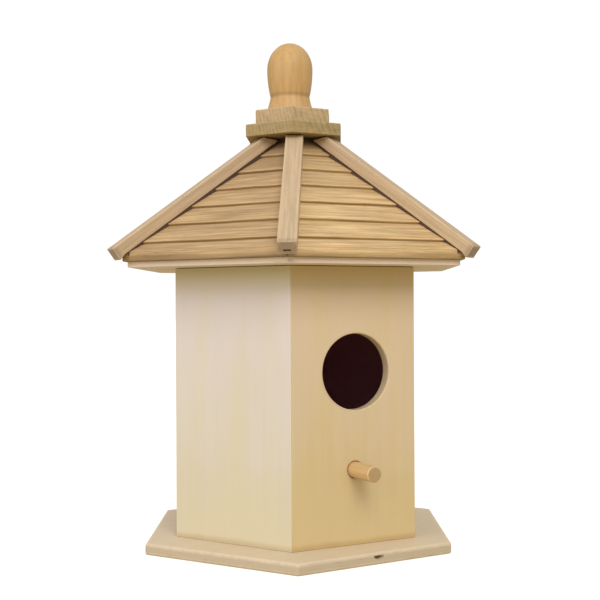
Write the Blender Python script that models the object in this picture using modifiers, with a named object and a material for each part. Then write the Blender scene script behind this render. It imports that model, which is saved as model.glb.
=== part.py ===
"""A hexagonal wooden birdhouse with a stepped roof, hip battens and a turned finial.

World metres, Z up. The hexagon's axis is the Z axis and the base stands on Z = 0. The wall with
the entrance hole faces -Y. Corners of the hexagon point at 0, 60, 120, 180, -120 and -60 degrees.
"""

import math

import bmesh
import bpy
from mathutils import Matrix, Vector

# Driving dimensions, in metres, with angles in degrees.
GAP = 0.0003  # clearance between neighbouring pieces
SIDES = 6
HALF_CORNER_DEG = 180.0 / SIDES
FLAT_OVER_CORNER = math.cos(math.radians(HALF_CORNER_DEG))

BASE_CORNER_RADIUS = 0.0890
BASE_THICKNESS = 0.0057
BASE_EDGE_ROUND = 0.0011
BASE_TURN_DEG = 2.3  # the board was set by hand, slightly turned and forward
BASE_SHIFT = (-0.0025, -0.0050)

WALL_CORNER_RADIUS = 0.0710
WALL_THICKNESS = 0.0060
WALL_BOTTOM = BASE_THICKNESS + GAP
WALL_TOP = 0.1442

ENTRANCE_DIAMETER = 0.0381
ENTRANCE_CENTRE_X = 0.0010
ENTRANCE_CENTRE_Z = 0.0917
ENTRANCE_RIM_EASE = 0.0007

PERCH_DIAMETER = 0.0080
PERCH_CENTRE_Z = 0.0431
PERCH_OUTSIDE = 0.0185
PERCH_INSIDE = 0.0020
PERCH_END_ROUND = 0.0006

EAVE_CORNER_RADIUS = 0.0970
EAVE_BOTTOM = WALL_TOP + GAP
EAVE_TOP = 0.1474
EAVE_EDGE_ROUND = 0.0003

ROOF_SLOPE_DEG = 39.58
ROOF_BOTTOM = EAVE_TOP + GAP
ROOF_NOSE_TOP = 0.1522
ROOF_NOSE_REACH = 0.0862  # from the axis to the flat nose of a roof face
ROOF_BOARD_THICKNESS = 0.0060
FIRST_COURSE_RUN = 0.0063  # level run from the nose to the first course line
COURSE_RUN = 0.0115
COURSES_CUT = 7
COURSE_STEP = 0.0011

BATTEN_WIDTH = 0.0093
BATTEN_THICKNESS = 0.0062
BATTEN_FALL = 0.728  # a little steeper than the hip, so the batten beds deeper at the eave
BATTEN_UNDER_PEAK = 0.2234  # height on the axis of the line along its underside
BATTEN_LOWER_REACH = 0.1026  # from the axis to the batten's lower corner
BATTEN_UPPER_REACH = 0.0130
BATTEN_EDGE_ROUND = 0.0004

LOWER_CAP_CORNER_RADIUS = 0.0295
LOWER_CAP_BOTTOM = 0.2154
LOWER_CAP_TOP = 0.2220
UPPER_CAP_CORNER_RADIUS = 0.0229
UPPER_CAP_BOTTOM = LOWER_CAP_TOP + GAP
UPPER_CAP_TOP = 0.2303
CAP_EDGE_ROUND = 0.0004
LEAN_DIRECTION_DEG = 152.4  # the crown drifts this way, a little more with each piece
LOWER_CAP_DRIFT = 0.0010
UPPER_CAP_DRIFT = 0.0017
FINIAL_DRIFT = 0.0033

FINIAL_BOTTOM = UPPER_CAP_TOP + GAP
FINIAL_NECK_Z = 0.2390
FINIAL_WIDEST_Z = 0.2540
FINIAL_TOP = 0.2685
FINIAL_FOOT_RADIUS = 0.0130
FINIAL_FOOT_SWEEP = 1.35  # above 1 the foot is hollow, like a cove
FINIAL_EGG_RADIUS = 0.01245
FINIAL_LOWER_CURVE = 0.0293
TENON_DIAMETER = 0.0095
TENON_END_Z = 0.2165
TENON_END_EASE = 0.0008

CLEAN_OUT_DIAMETER = 0.0380
CLEAN_OUT_CENTRE_Z = 0.0460
COVER_PIVOT_Z = 0.0800
COVER_RADIUS = 0.0240
COVER_EAR_RADIUS = 0.0085
COVER_THICKNESS = 0.0032
COVER_EDGE_ROUND = 0.0005

PIVOT_SHANK_DIAMETER = 0.0034
PIVOT_HEAD_DIAMETER = 0.0074
PIVOT_HEAD_HEIGHT = 0.0022
PIVOT_LENGTH = 0.0116
PIVOT_POINT = 0.0022

BASE_SCREW_SHANK_DIAMETER = 0.0028
BASE_SCREW_HEAD_DIAMETER = 0.0058
BASE_SCREW_HEAD_HEIGHT = 0.0017
BASE_SCREW_LENGTH = 0.0155
BASE_SCREW_POINT = 0.0025
BASE_SCREW_RECESS = 0.0003  # head sits this far inside the underside of the base
CROSS_SLOT_WIDTH = 0.0007
CROSS_SLOT_DEPTH = 0.0009
CROSS_SLOT_SHARE = 0.62  # slot length as a share of the head diameter

HOLE_SEGMENTS = 48
TURNED_SEGMENTS = 48
SCREW_SEGMENTS = 20
CUT_PAST = 0.0020  # how far a cutter runs past a face

SIDE_NAMES = ("front", "front_right", "back_right", "back", "back_left", "front_left")
CORNER_NAMES = ("front_left", "front_right", "right", "back_right", "back_left", "left")
FIRST_CORNER_DEG = -120.0
SCREWED_WALLS = (1, 3, 5)

IVORY = (0.78, 0.66, 0.50)
CREAM = (0.70, 0.52, 0.30)
BASE_TAN = (0.66, 0.48, 0.30)
EAVE_IVORY = (0.80, 0.66, 0.47)
ROOF_TAN = (0.47, 0.29, 0.13)
BATTEN_TAN = (0.64, 0.43, 0.26)
CAP_TAN = (0.42, 0.29, 0.13)
FINIAL_TAN = (0.60, 0.35, 0.13)
PERCH_TAN = (0.56, 0.40, 0.18)
COVER_TAN = (0.62, 0.44, 0.25)
ZINC = (0.62, 0.60, 0.56)


def clear_scene():
    for item in list(bpy.data.objects):
        bpy.data.objects.remove(item, do_unlink=True)


def new_collection(name, hidden=False):
    group = bpy.data.collections.new(name)
    bpy.context.scene.collection.children.link(group)
    group.hide_render = hidden
    return group


def finish_of(item, colour, roughness, metallic=0.0):
    """Gives the object its own material."""
    material = bpy.data.materials.new(item.name + "_finish")
    material.use_nodes = True
    shader = material.node_tree.nodes["Principled BSDF"]
    shader.inputs["Base Color"].default_value = (*colour, 1.0)
    shader.inputs["Roughness"].default_value = roughness
    shader.inputs["Metallic"].default_value = metallic
    item.data.materials.append(material)


def object_from(name, shape, group):
    bmesh.ops.recalc_face_normals(shape, faces=shape.faces)
    mesh = bpy.data.meshes.new(name)
    shape.to_mesh(mesh)
    shape.free()
    item = bpy.data.objects.new(name, mesh)
    group.objects.link(item)
    return item


def as_cutter(item):
    item.hide_render = True
    item.display_type = "WIRE"
    return item


def round_edges(item, width, segments=2):
    bevel = item.modifiers.new("Eased edges", "BEVEL")
    bevel.width = width
    bevel.segments = segments
    bevel.limit_method = "ANGLE"
    bevel.angle_limit = math.radians(35.0)


def cut_away(item, cutter):
    hole = item.modifiers.new("Cut " + cutter.name, "BOOLEAN")
    hole.operation = "DIFFERENCE"
    hole.solver = "EXACT"
    hole.object = cutter


def turned(name, profile, segments, group):
    """Turns (radius, height) points about Z. They run from the top down the outer side."""
    shape = bmesh.new()
    points = [shape.verts.new((radius, 0.0, height)) for radius, height in profile]
    for first, second in zip(points, points[1:]):
        shape.edges.new((first, second))
    mesh = bpy.data.meshes.new(name)
    shape.to_mesh(mesh)
    shape.free()
    item = bpy.data.objects.new(name, mesh)
    group.objects.link(item)
    turn = item.modifiers.new("Turn", "SCREW")
    turn.axis = "Z"
    turn.steps = segments
    turn.render_steps = segments
    turn.use_merge_vertices = True
    turn.merge_threshold = 0.00001
    turn.use_smooth_shade = True
    return item


def hexagonal_plate(name, corner_radius, thickness, group):
    """A hexagonal board lying on its own origin, with a corner on +X."""
    shape = bmesh.new()
    turn = Matrix.Rotation(math.radians(HALF_CORNER_DEG), 4, "Z")
    bmesh.ops.create_cone(
        shape,
        cap_ends=True,
        segments=SIDES,
        radius1=corner_radius,
        radius2=corner_radius,
        depth=thickness,
        matrix=turn @ Matrix.Translation((0.0, 0.0, thickness / 2.0)),
    )
    return object_from(name, shape, group)


def saw_cut(shape, point, normal):
    """Cuts along a plane, drops what lies on the normal's side and closes the sawn face."""
    everything = shape.verts[:] + shape.edges[:] + shape.faces[:]
    cut = bmesh.ops.bisect_plane(
        shape, geom=everything, plane_co=point, plane_no=normal, clear_outer=True
    )
    rim = [edge for edge in cut["geom_cut"] if isinstance(edge, bmesh.types.BMEdge)]
    bmesh.ops.edgeloop_fill(shape, edges=rim)


def mitre_both_ends(shape):
    """Cuts a piece that faces -Y to its sixth of the hexagon, half a gap short at each side."""
    for side in (-1.0, 1.0):
        angle = math.radians(HALF_CORNER_DEG)
        normal = Vector((side * math.cos(angle), math.sin(angle), 0.0))
        saw_cut(shape, -normal * GAP / 2.0, normal)


def prism(outline, half_width):
    """Extrudes an outline of (y, z) points along X, to half_width on each side."""
    shape = bmesh.new()
    points = [shape.verts.new((-half_width, y, z)) for y, z in outline]
    side = shape.faces.new(points)
    moved = bmesh.ops.extrude_face_region(shape, geom=[side])["geom"]
    ends = [vert for vert in moved if isinstance(vert, bmesh.types.BMVert)]
    bmesh.ops.translate(shape, verts=ends, vec=(2.0 * half_width, 0.0, 0.0))
    return shape


def drift_of(distance):
    angle = math.radians(LEAN_DIRECTION_DEG)
    return Vector((distance * math.cos(angle), distance * math.sin(angle), 0.0))


def side_angle(index):
    """How far a piece that faces -Y is turned to become side number index."""
    return math.radians(index * 360.0 / SIDES)


def screw_spots():
    """Where the base screws stand: the middle of the bottom edge of three of the walls."""
    reach = WALL_CORNER_RADIUS * FLAT_OVER_CORNER - WALL_THICKNESS / 2.0
    spots = {}
    for index in SCREWED_WALLS:
        angle = side_angle(index)
        spots[index] = Vector((reach * math.sin(angle), -reach * math.cos(angle), 0.0))
    return spots


def cylinder_cutter(name, radius, length, place, turn, group):
    """A round cutter whose near end is at place and which runs along its own Z."""
    shape = bmesh.new()
    bmesh.ops.create_cone(
        shape,
        cap_ends=True,
        segments=HOLE_SEGMENTS,
        radius1=radius,
        radius2=radius,
        depth=length,
        matrix=Matrix.Translation((0.0, 0.0, length / 2.0)),
    )
    item = object_from(name, shape, group)
    item.location = place
    item.rotation_euler = turn
    return as_cutter(item)


def base_board(parts, cutters):
    board = hexagonal_plate("base_board", BASE_CORNER_RADIUS, BASE_THICKNESS, parts)
    board.location = (BASE_SHIFT[0], BASE_SHIFT[1], 0.0)
    board.rotation_euler.z = math.radians(BASE_TURN_DEG)
    round_edges(board, BASE_EDGE_ROUND, 3)
    shank = BASE_SCREW_SHANK_DIAMETER / 2.0 + GAP
    head = BASE_SCREW_HEAD_DIAMETER / 2.0 + GAP
    head_end = BASE_SCREW_RECESS + BASE_SCREW_HEAD_HEIGHT
    profile = (
        (0.0, BASE_THICKNESS + CUT_PAST),
        (shank, BASE_THICKNESS + CUT_PAST),
        (shank, head_end + GAP),
        (head, BASE_SCREW_RECESS + GAP),
        (head, -CUT_PAST),
        (0.0, -CUT_PAST),
    )
    for index, spot in screw_spots().items():
        cutter = turned(f"screw_seat_{index}", profile, SCREW_SEGMENTS, cutters)
        cutter.location = spot
        cut_away(board, as_cutter(cutter))
    finish_of(board, BASE_TAN, 0.62)


def wall_shape():
    face = WALL_CORNER_RADIUS * FLAT_OVER_CORNER
    height = WALL_TOP - WALL_BOTTOM
    outline = ((-face, 0.0), (-face, height), (WALL_THICKNESS - face, height))
    shape = prism(outline + ((WALL_THICKNESS - face, 0.0),), WALL_CORNER_RADIUS)
    mitre_both_ends(shape)
    return shape


def entrance_cutter(cutters):
    """The entrance hole with its outer rim eased, as one turned shape pointing out of the wall."""
    face = WALL_CORNER_RADIUS * FLAT_OVER_CORNER
    radius = ENTRANCE_DIAMETER / 2.0
    flare = radius + ENTRANCE_RIM_EASE + CUT_PAST
    profile = (
        (0.0, CUT_PAST),
        (flare, CUT_PAST),
        (radius, -ENTRANCE_RIM_EASE),
        (radius, -WALL_THICKNESS - CUT_PAST),
        (0.0, -WALL_THICKNESS - CUT_PAST),
    )
    cutter = turned("entrance_hole", profile, HOLE_SEGMENTS, cutters)
    cutter.location = (ENTRANCE_CENTRE_X, -face, ENTRANCE_CENTRE_Z)
    cutter.rotation_euler.x = math.radians(90.0)
    return as_cutter(cutter)


def walls(parts, cutters):
    face = WALL_CORNER_RADIUS * FLAT_OVER_CORNER
    through = WALL_THICKNESS + 2.0 * CUT_PAST
    toward_inside = (math.radians(-90.0), 0.0, 0.0)
    outside = -face - CUT_PAST
    inside = face - WALL_THICKNESS - CUT_PAST
    cuts = {
        0: [
            entrance_cutter(cutters),
            cylinder_cutter(
                "perch_hole",
                PERCH_DIAMETER / 2.0 + GAP,
                through,
                (0.0, outside, PERCH_CENTRE_Z),
                toward_inside,
                cutters,
            ),
        ],
        3: [
            cylinder_cutter(
                "clean_out_hole",
                CLEAN_OUT_DIAMETER / 2.0,
                through,
                (0.0, inside, CLEAN_OUT_CENTRE_Z),
                toward_inside,
                cutters,
            ),
            cylinder_cutter(
                "pivot_hole",
                PIVOT_SHANK_DIAMETER / 2.0 + GAP,
                through,
                (0.0, inside, COVER_PIVOT_Z),
                toward_inside,
                cutters,
            ),
        ],
    }
    screw_end = BASE_SCREW_RECESS + BASE_SCREW_LENGTH
    for index, spot in screw_spots().items():
        pilot = cylinder_cutter(
            f"pilot_hole_{index}",
            BASE_SCREW_SHANK_DIAMETER / 2.0 + GAP,
            screw_end + GAP,
            spot,
            (0.0, 0.0, 0.0),
            cutters,
        )
        cuts.setdefault(index, []).append(pilot)
    for index, name in enumerate(SIDE_NAMES):
        wall = object_from(name + "_wall", wall_shape(), parts)
        wall.location.z = WALL_BOTTOM
        wall.rotation_euler.z = side_angle(index)
        for cutter in cuts.get(index, []):
            cut_away(wall, cutter)
        finish_of(wall, CREAM if index == 0 else IVORY, 0.66)


def perch(parts):
    face = WALL_CORNER_RADIUS * FLAT_OVER_CORNER
    length = PERCH_OUTSIDE + WALL_THICKNESS + PERCH_INSIDE
    radius = PERCH_DIAMETER / 2.0
    profile = (
        (0.0, length),
        (radius - PERCH_END_ROUND, length),
        (radius - PERCH_END_ROUND * 0.3, length - PERCH_END_ROUND * 0.3),
        (radius, length - PERCH_END_ROUND),
        (radius, PERCH_END_ROUND),
        (radius - PERCH_END_ROUND, 0.0),
        (0.0, 0.0),
    )
    dowel = turned("perch", profile, TURNED_SEGMENTS, parts)
    dowel.location = (0.0, WALL_THICKNESS + PERCH_INSIDE - face, PERCH_CENTRE_Z)
    dowel.rotation_euler.x = math.radians(90.0)
    finish_of(dowel, PERCH_TAN, 0.6)


def eave_board(parts):
    board = hexagonal_plate("eave_board", EAVE_CORNER_RADIUS, EAVE_TOP - EAVE_BOTTOM, parts)
    board.location.z = EAVE_BOTTOM
    round_edges(board, EAVE_EDGE_ROUND, 1)
    finish_of(board, EAVE_IVORY, 0.66)


def peak_height():
    """Where the lines through the course edges of the roof faces meet on the axis."""
    return ROOF_NOSE_TOP + ROOF_NOSE_REACH * math.tan(math.radians(ROOF_SLOPE_DEG))


def roof_outline():
    """Section of one roof face as (y, z) points: a nose, then courses each stepping down."""
    slope = math.radians(ROOF_SLOPE_DEG)
    rise = math.tan(slope)
    foot = Vector((COURSE_STEP * math.sin(slope), COURSE_STEP * math.cos(slope)))
    points = [(-ROOF_NOSE_REACH, ROOF_BOTTOM), (-ROOF_NOSE_REACH, ROOF_NOSE_TOP)]
    for course in range(1, COURSES_CUT + 1):
        run = FIRST_COURSE_RUN + (course - 1) * COURSE_RUN
        reach = ROOF_NOSE_REACH - run
        height = ROOF_NOSE_TOP + run * rise
        points.append((-(reach - foot.x), height - foot.y))
        if course < COURSES_CUT:
            points.append((-reach, height))
    drop = ROOF_BOARD_THICKNESS / math.cos(slope)
    top_y = points[-1][0]
    underside_peak = peak_height() - drop
    points.append((top_y, underside_peak + top_y * rise))
    points.append(((ROOF_BOTTOM - underside_peak) / rise, ROOF_BOTTOM))
    return points


def roof_panels(parts):
    for index, name in enumerate(SIDE_NAMES):
        shape = prism(roof_outline(), ROOF_NOSE_REACH)
        mitre_both_ends(shape)
        panel = object_from("roof_panel_" + name, shape, parts)
        panel.rotation_euler.z = side_angle(index)
        finish_of(panel, ROOF_TAN, 0.62)


def batten_outline():
    """Section along a hip as (y, z) points: square lower end, level seat under the cap."""
    angle = math.atan(BATTEN_FALL)
    over_peak = BATTEN_UNDER_PEAK + BATTEN_THICKNESS / math.cos(angle)
    seat = LOWER_CAP_BOTTOM - GAP
    low = (-BATTEN_LOWER_REACH, BATTEN_UNDER_PEAK - BATTEN_FALL * BATTEN_LOWER_REACH)
    square = (BATTEN_THICKNESS * math.sin(angle), BATTEN_THICKNESS * math.cos(angle))
    return (
        low,
        (low[0] - square[0], low[1] + square[1]),
        ((seat - over_peak) / BATTEN_FALL, seat),
        (-BATTEN_UPPER_REACH, seat),
        (-BATTEN_UPPER_REACH, BATTEN_UNDER_PEAK - BATTEN_FALL * BATTEN_UPPER_REACH),
    )


def ridge_cutter(cutters):
    """The ridge between two roof faces, a gap larger all round, to cut a batten's bed."""
    rise = math.tan(math.radians(ROOF_SLOPE_DEG))
    fall = rise * FLAT_OVER_CORNER
    side_fall = rise * math.sin(math.radians(HALF_CORNER_DEG))
    clearance = GAP * math.hypot(1.0, rise)
    half = BATTEN_WIDTH
    rim = ((-half, -half), (half, -half), (half, -side_fall * half), (0.0, 0.0))
    shape = bmesh.new()
    lower, upper = (
        [
            shape.verts.new((x, -reach, peak_height() + clearance - fall * reach + drop))
            for x, drop in rim + ((-half, -side_fall * half),)
        ]
        for reach in (BATTEN_LOWER_REACH + half, 0.0)
    )
    shape.faces.new(lower)
    shape.faces.new(upper)
    for first in range(len(lower)):
        second = (first + 1) % len(lower)
        shape.faces.new((lower[first], lower[second], upper[second], upper[first]))
    return as_cutter(object_from("ridge", shape, cutters))


def hip_battens(parts, cutters):
    for index, name in enumerate(CORNER_NAMES):
        shape = prism(batten_outline(), BATTEN_WIDTH / 2.0)
        batten = object_from("hip_batten_" + name, shape, parts)
        ridge = ridge_cutter(cutters)
        for item in (batten, ridge):
            corner = FIRST_CORNER_DEG + index * 360.0 / SIDES
            item.rotation_euler.z = math.radians(corner + 90.0)
        round_edges(batten, BATTEN_EDGE_ROUND)
        cut_away(batten, ridge)
        finish_of(batten, BATTEN_TAN, 0.62)


def cap_plates(parts, cutters):
    tenon_hole = cylinder_cutter(
        "tenon_hole",
        TENON_DIAMETER / 2.0 + GAP,
        UPPER_CAP_TOP + CUT_PAST - TENON_END_Z + GAP,
        drift_of(FINIAL_DRIFT) + Vector((0.0, 0.0, TENON_END_Z - GAP)),
        (0.0, 0.0, 0.0),
        cutters,
    )
    plates = (
        ("lower_cap", LOWER_CAP_CORNER_RADIUS, LOWER_CAP_BOTTOM, LOWER_CAP_TOP, LOWER_CAP_DRIFT),
        ("upper_cap", UPPER_CAP_CORNER_RADIUS, UPPER_CAP_BOTTOM, UPPER_CAP_TOP, UPPER_CAP_DRIFT),
    )
    for name, radius, bottom, top, drift in plates:
        plate = hexagonal_plate(name, radius, top - bottom, parts)
        plate.location = drift_of(drift) + Vector((0.0, 0.0, bottom))
        round_edges(plate, CAP_EDGE_ROUND)
        cut_away(plate, tenon_hole)
        finish_of(plate, CAP_TAN, 0.7)


def oval_radius(widest, curve, height):
    """Radius of an upright oval at a height from where it is widest."""
    return widest * math.sqrt(max(0.0, 1.0 - (height / curve) ** 2))


def finial_profile():
    top_curve = FINIAL_TOP - FINIAL_WIDEST_Z
    profile = []
    for step in range(11):
        lift = top_curve * math.cos(math.radians(9.0 * step))
        radius = oval_radius(FINIAL_EGG_RADIUS, top_curve, lift)
        profile.append((radius, FINIAL_WIDEST_Z + lift))
    for step in range(1, 8):
        drop = (FINIAL_WIDEST_Z - FINIAL_NECK_Z) * step / 7.0
        radius = oval_radius(FINIAL_EGG_RADIUS, FINIAL_LOWER_CURVE, drop)
        profile.append((radius, FINIAL_WIDEST_Z - drop))
    neck = profile[-1][0]
    for step in range(1, 6):
        share = step / 5.0
        radius = neck + (FINIAL_FOOT_RADIUS - neck) * share**FINIAL_FOOT_SWEEP
        profile.append((radius, FINIAL_NECK_Z - (FINIAL_NECK_Z - FINIAL_BOTTOM) * share))
    tenon = TENON_DIAMETER / 2.0
    profile.append((tenon, FINIAL_BOTTOM))
    profile.append((tenon, TENON_END_Z + TENON_END_EASE))
    profile.append((tenon - TENON_END_EASE, TENON_END_Z))
    profile.append((0.0, TENON_END_Z))
    return [(radius, height - FINIAL_BOTTOM) for radius, height in profile]


def finial(parts):
    knob = turned("finial", finial_profile(), TURNED_SEGMENTS, parts)
    knob.location = drift_of(FINIAL_DRIFT) + Vector((0.0, 0.0, FINIAL_BOTTOM))
    finish_of(knob, FINIAL_TAN, 0.42)


def cover_outline():
    """Outline of the cover as (x, z) points about the pivot: a small ear above a disc."""
    drop = COVER_PIVOT_Z - CLEAN_OUT_CENTRE_Z
    lean = math.asin((COVER_RADIUS - COVER_EAR_RADIUS) / drop)
    arcs = (
        (COVER_EAR_RADIUS, 0.0, lean, math.pi - lean, 12),
        (COVER_RADIUS, -drop, math.pi - lean, 2.0 * math.pi + lean, 36),
    )
    points = []
    for radius, centre, start, end, steps in arcs:
        for step in range(steps + 1):
            angle = start + (end - start) * step / steps
            points.append((radius * math.cos(angle), centre + radius * math.sin(angle)))
    return points


def clean_out_cover(parts, cutters):
    """The swinging cover. Its origin is on the axis of its pivot screw."""
    face = WALL_CORNER_RADIUS * FLAT_OVER_CORNER
    shape = bmesh.new()
    rim = [shape.verts.new((x, 0.0, z)) for x, z in cover_outline()]
    moved = bmesh.ops.extrude_face_region(shape, geom=[shape.faces.new(rim)])["geom"]
    far = [vert for vert in moved if isinstance(vert, bmesh.types.BMVert)]
    bmesh.ops.translate(shape, verts=far, vec=(0.0, COVER_THICKNESS, 0.0))
    cover = object_from("clean_out_cover", shape, parts)
    cover.location = (0.0, face + GAP, COVER_PIVOT_Z)
    round_edges(cover, COVER_EDGE_ROUND)
    pivot = cylinder_cutter(
        "cover_pivot_hole",
        PIVOT_SHANK_DIAMETER / 2.0 + GAP,
        COVER_THICKNESS + 2.0 * CUT_PAST,
        (0.0, face + GAP - CUT_PAST, COVER_PIVOT_Z),
        (math.radians(-90.0), 0.0, 0.0),
        cutters,
    )
    cut_away(cover, pivot)
    finish_of(cover, COVER_TAN, 0.62)


def cross_slot(name, head_diameter, cutters):
    """A cross-shaped cutter that sinks into the top of a screw head at the origin."""
    reach = head_diameter * CROSS_SLOT_SHARE / 2.0
    half = CROSS_SLOT_WIDTH / 2.0
    quarter = ((half, half), (half, reach), (-half, reach))
    shape = bmesh.new()
    rim = []
    for turn in range(4):
        rotation = Matrix.Rotation(math.radians(90.0 * turn), 2)
        rim += [rotation @ Vector(corner) for corner in quarter]
    points = [shape.verts.new((x, y, -CROSS_SLOT_DEPTH)) for x, y in rim]
    moved = bmesh.ops.extrude_face_region(shape, geom=[shape.faces.new(points)])["geom"]
    top = [vert for vert in moved if isinstance(vert, bmesh.types.BMVert)]
    bmesh.ops.translate(shape, verts=top, vec=(0.0, 0.0, CROSS_SLOT_DEPTH + PIVOT_HEAD_HEIGHT))
    return as_cutter(object_from(name, shape, cutters))


def place_screw(screw, slot, place, turn):
    for item in (screw, slot):
        item.location = place
        item.rotation_euler = turn
    cut_away(screw, slot)
    finish_of(screw, ZINC, 0.35, 1.0)


def base_screws(parts, cutters):
    shank = BASE_SCREW_SHANK_DIAMETER / 2.0
    head = BASE_SCREW_HEAD_DIAMETER / 2.0
    profile = (
        (0.0, 0.0),
        (head, 0.0),
        (head, -GAP),
        (shank, -BASE_SCREW_HEAD_HEIGHT),
        (shank, BASE_SCREW_POINT - BASE_SCREW_LENGTH),
        (0.0, -BASE_SCREW_LENGTH),
    )
    head_down = (math.radians(180.0), 0.0, 0.0)
    for index, spot in screw_spots().items():
        name = "base_screw_" + SIDE_NAMES[index]
        screw = turned(name, profile, SCREW_SEGMENTS, parts)
        slot = cross_slot(name + "_slot", BASE_SCREW_HEAD_DIAMETER, cutters)
        place_screw(screw, slot, spot + Vector((0.0, 0.0, BASE_SCREW_RECESS)), head_down)


def pivot_screw(parts, cutters):
    face = WALL_CORNER_RADIUS * FLAT_OVER_CORNER
    shank = PIVOT_SHANK_DIAMETER / 2.0
    head = PIVOT_HEAD_DIAMETER / 2.0
    profile = [(0.0, 0.0)]
    for step in range(1, 6):
        angle = math.radians(18.0 * step)
        profile.append((head * math.sin(angle), PIVOT_HEAD_HEIGHT * (math.cos(angle) - 1.0)))
    profile += [
        (shank, -PIVOT_HEAD_HEIGHT),
        (shank, PIVOT_POINT - PIVOT_LENGTH - PIVOT_HEAD_HEIGHT),
        (0.0, -PIVOT_LENGTH - PIVOT_HEAD_HEIGHT),
    ]
    screw = turned("pivot_screw", profile, SCREW_SEGMENTS, parts)
    slot = cross_slot("pivot_screw_slot", PIVOT_HEAD_DIAMETER, cutters)
    head_face = face + 2.0 * GAP + COVER_THICKNESS + PIVOT_HEAD_HEIGHT
    place_screw(screw, slot, (0.0, head_face, COVER_PIVOT_Z), (math.radians(-90.0), 0.0, 0.0))


def main():
    clear_scene()
    parts = new_collection("Birdhouse")
    cutters = new_collection("Cutters", hidden=True)
    base_board(parts, cutters)
    walls(parts, cutters)
    perch(parts)
    eave_board(parts)
    roof_panels(parts)
    hip_battens(parts, cutters)
    cap_plates(parts, cutters)
    finial(parts)
    clean_out_cover(parts, cutters)
    base_screws(parts, cutters)
    pivot_screw(parts, cutters)


main()
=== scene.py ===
"""A hexagonal wooden birdhouse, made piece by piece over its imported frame.

World metres, Z up. The wall with the entrance hole faces -Y. A side piece is worked out facing -Y
and then turned about Z by 60 degrees for each step round the house, anticlockwise from above.
"""

import functools
import math

import bmesh
import bpy
import numpy as np
from mathutils import Matrix, Vector
from mathutils.geometry import tessellate_polygon


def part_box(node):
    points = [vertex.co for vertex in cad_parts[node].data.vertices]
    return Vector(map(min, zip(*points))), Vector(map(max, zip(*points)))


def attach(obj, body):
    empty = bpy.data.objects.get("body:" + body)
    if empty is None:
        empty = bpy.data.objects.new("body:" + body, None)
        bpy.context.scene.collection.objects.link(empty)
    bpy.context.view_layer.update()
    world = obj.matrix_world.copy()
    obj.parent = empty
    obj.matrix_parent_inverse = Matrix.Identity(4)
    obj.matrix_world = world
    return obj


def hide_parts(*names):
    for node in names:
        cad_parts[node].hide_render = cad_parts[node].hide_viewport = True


bl_info = {
    "name": "Hexagonal Birdhouse",
    "version": (1, 0, 0),
    "blender": (4, 5, 0),
    "location": "3D View > Sidebar > Birdhouse",
    "description": "Builds a wooden birdhouse with a stepped roof, hip battens and a turned finial",
    "category": "Add Mesh",
}

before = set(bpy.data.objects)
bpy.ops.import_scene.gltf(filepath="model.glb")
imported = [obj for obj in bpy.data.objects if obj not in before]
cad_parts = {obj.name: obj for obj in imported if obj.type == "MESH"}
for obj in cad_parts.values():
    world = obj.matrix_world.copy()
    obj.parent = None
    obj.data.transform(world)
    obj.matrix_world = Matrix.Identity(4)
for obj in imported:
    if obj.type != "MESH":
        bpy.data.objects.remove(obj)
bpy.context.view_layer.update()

SIDE_NAMES = ("front", "front_right", "back_right", "back", "back_left", "front_left")
CORNER_NAMES = ("front_left", "front_right", "right", "back_right", "back_left", "left")
FIRST_CORNER_DEG = -120.0
SIXTH = math.radians(60.0)
HALF_SIXTH = math.radians(30.0)
COURSES = 7  # cut across each roof face
JOINT_CLOSED = 0.00024  # how much of a 0.3 mm glue gap the wood fills
PIVOT_HOLE = 0.0040
MITRE_GAP = 0.00015  # half the glue gap between two roof faces
BAR_SIDE_POINTS, BAR_CORNER_POINTS = 7, 4
BACKDROP_RADIUS, FLOOR_RADIUS, FLOOR_LEVEL = 10.0, 9.9, -0.0002
HOUSE_MIDDLE = (0.0, 0.0, 0.13)

# Marks that every point carries for its finish: edge wear, painted shade (in grooves, dents and
# creases, and on the inner faces), sawn end.
PLAIN = (0.0, 0.0, 0.0)
PAINTED_INSIDE_SHADE = (0.0, 1.0, 0.0)
SAWN_END = (0.0, 0.0, 1.0)
WELD = 1e-7  # points closer than this become one
FILL_SCALE = 10000.0  # the polygon filler joins points that are close in its own units


def middle(node):
    """Middle of a CAD node's box, and half its size."""
    low, high = (np.array(corner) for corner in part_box(node))
    return (low + high) / 2.0, (high - low) / 2.0


# ---------------------------------------------------------------- sizes and colours


def metres(name, description, default):
    """One length setting."""
    return bpy.props.FloatProperty(name=name, description=description, default=default, unit="LENGTH")


def degrees(name, description, default):
    """One angle setting, given in degrees and kept in radians."""
    return bpy.props.FloatProperty(
        name=name, description=description, default=math.radians(default), subtype="ANGLE"
    )


def colour(name, description, default):
    """One colour setting."""
    return bpy.props.FloatVectorProperty(
        name=name, description=description, default=default, size=3, subtype="COLOR", min=0.0, max=1.0
    )


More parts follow.
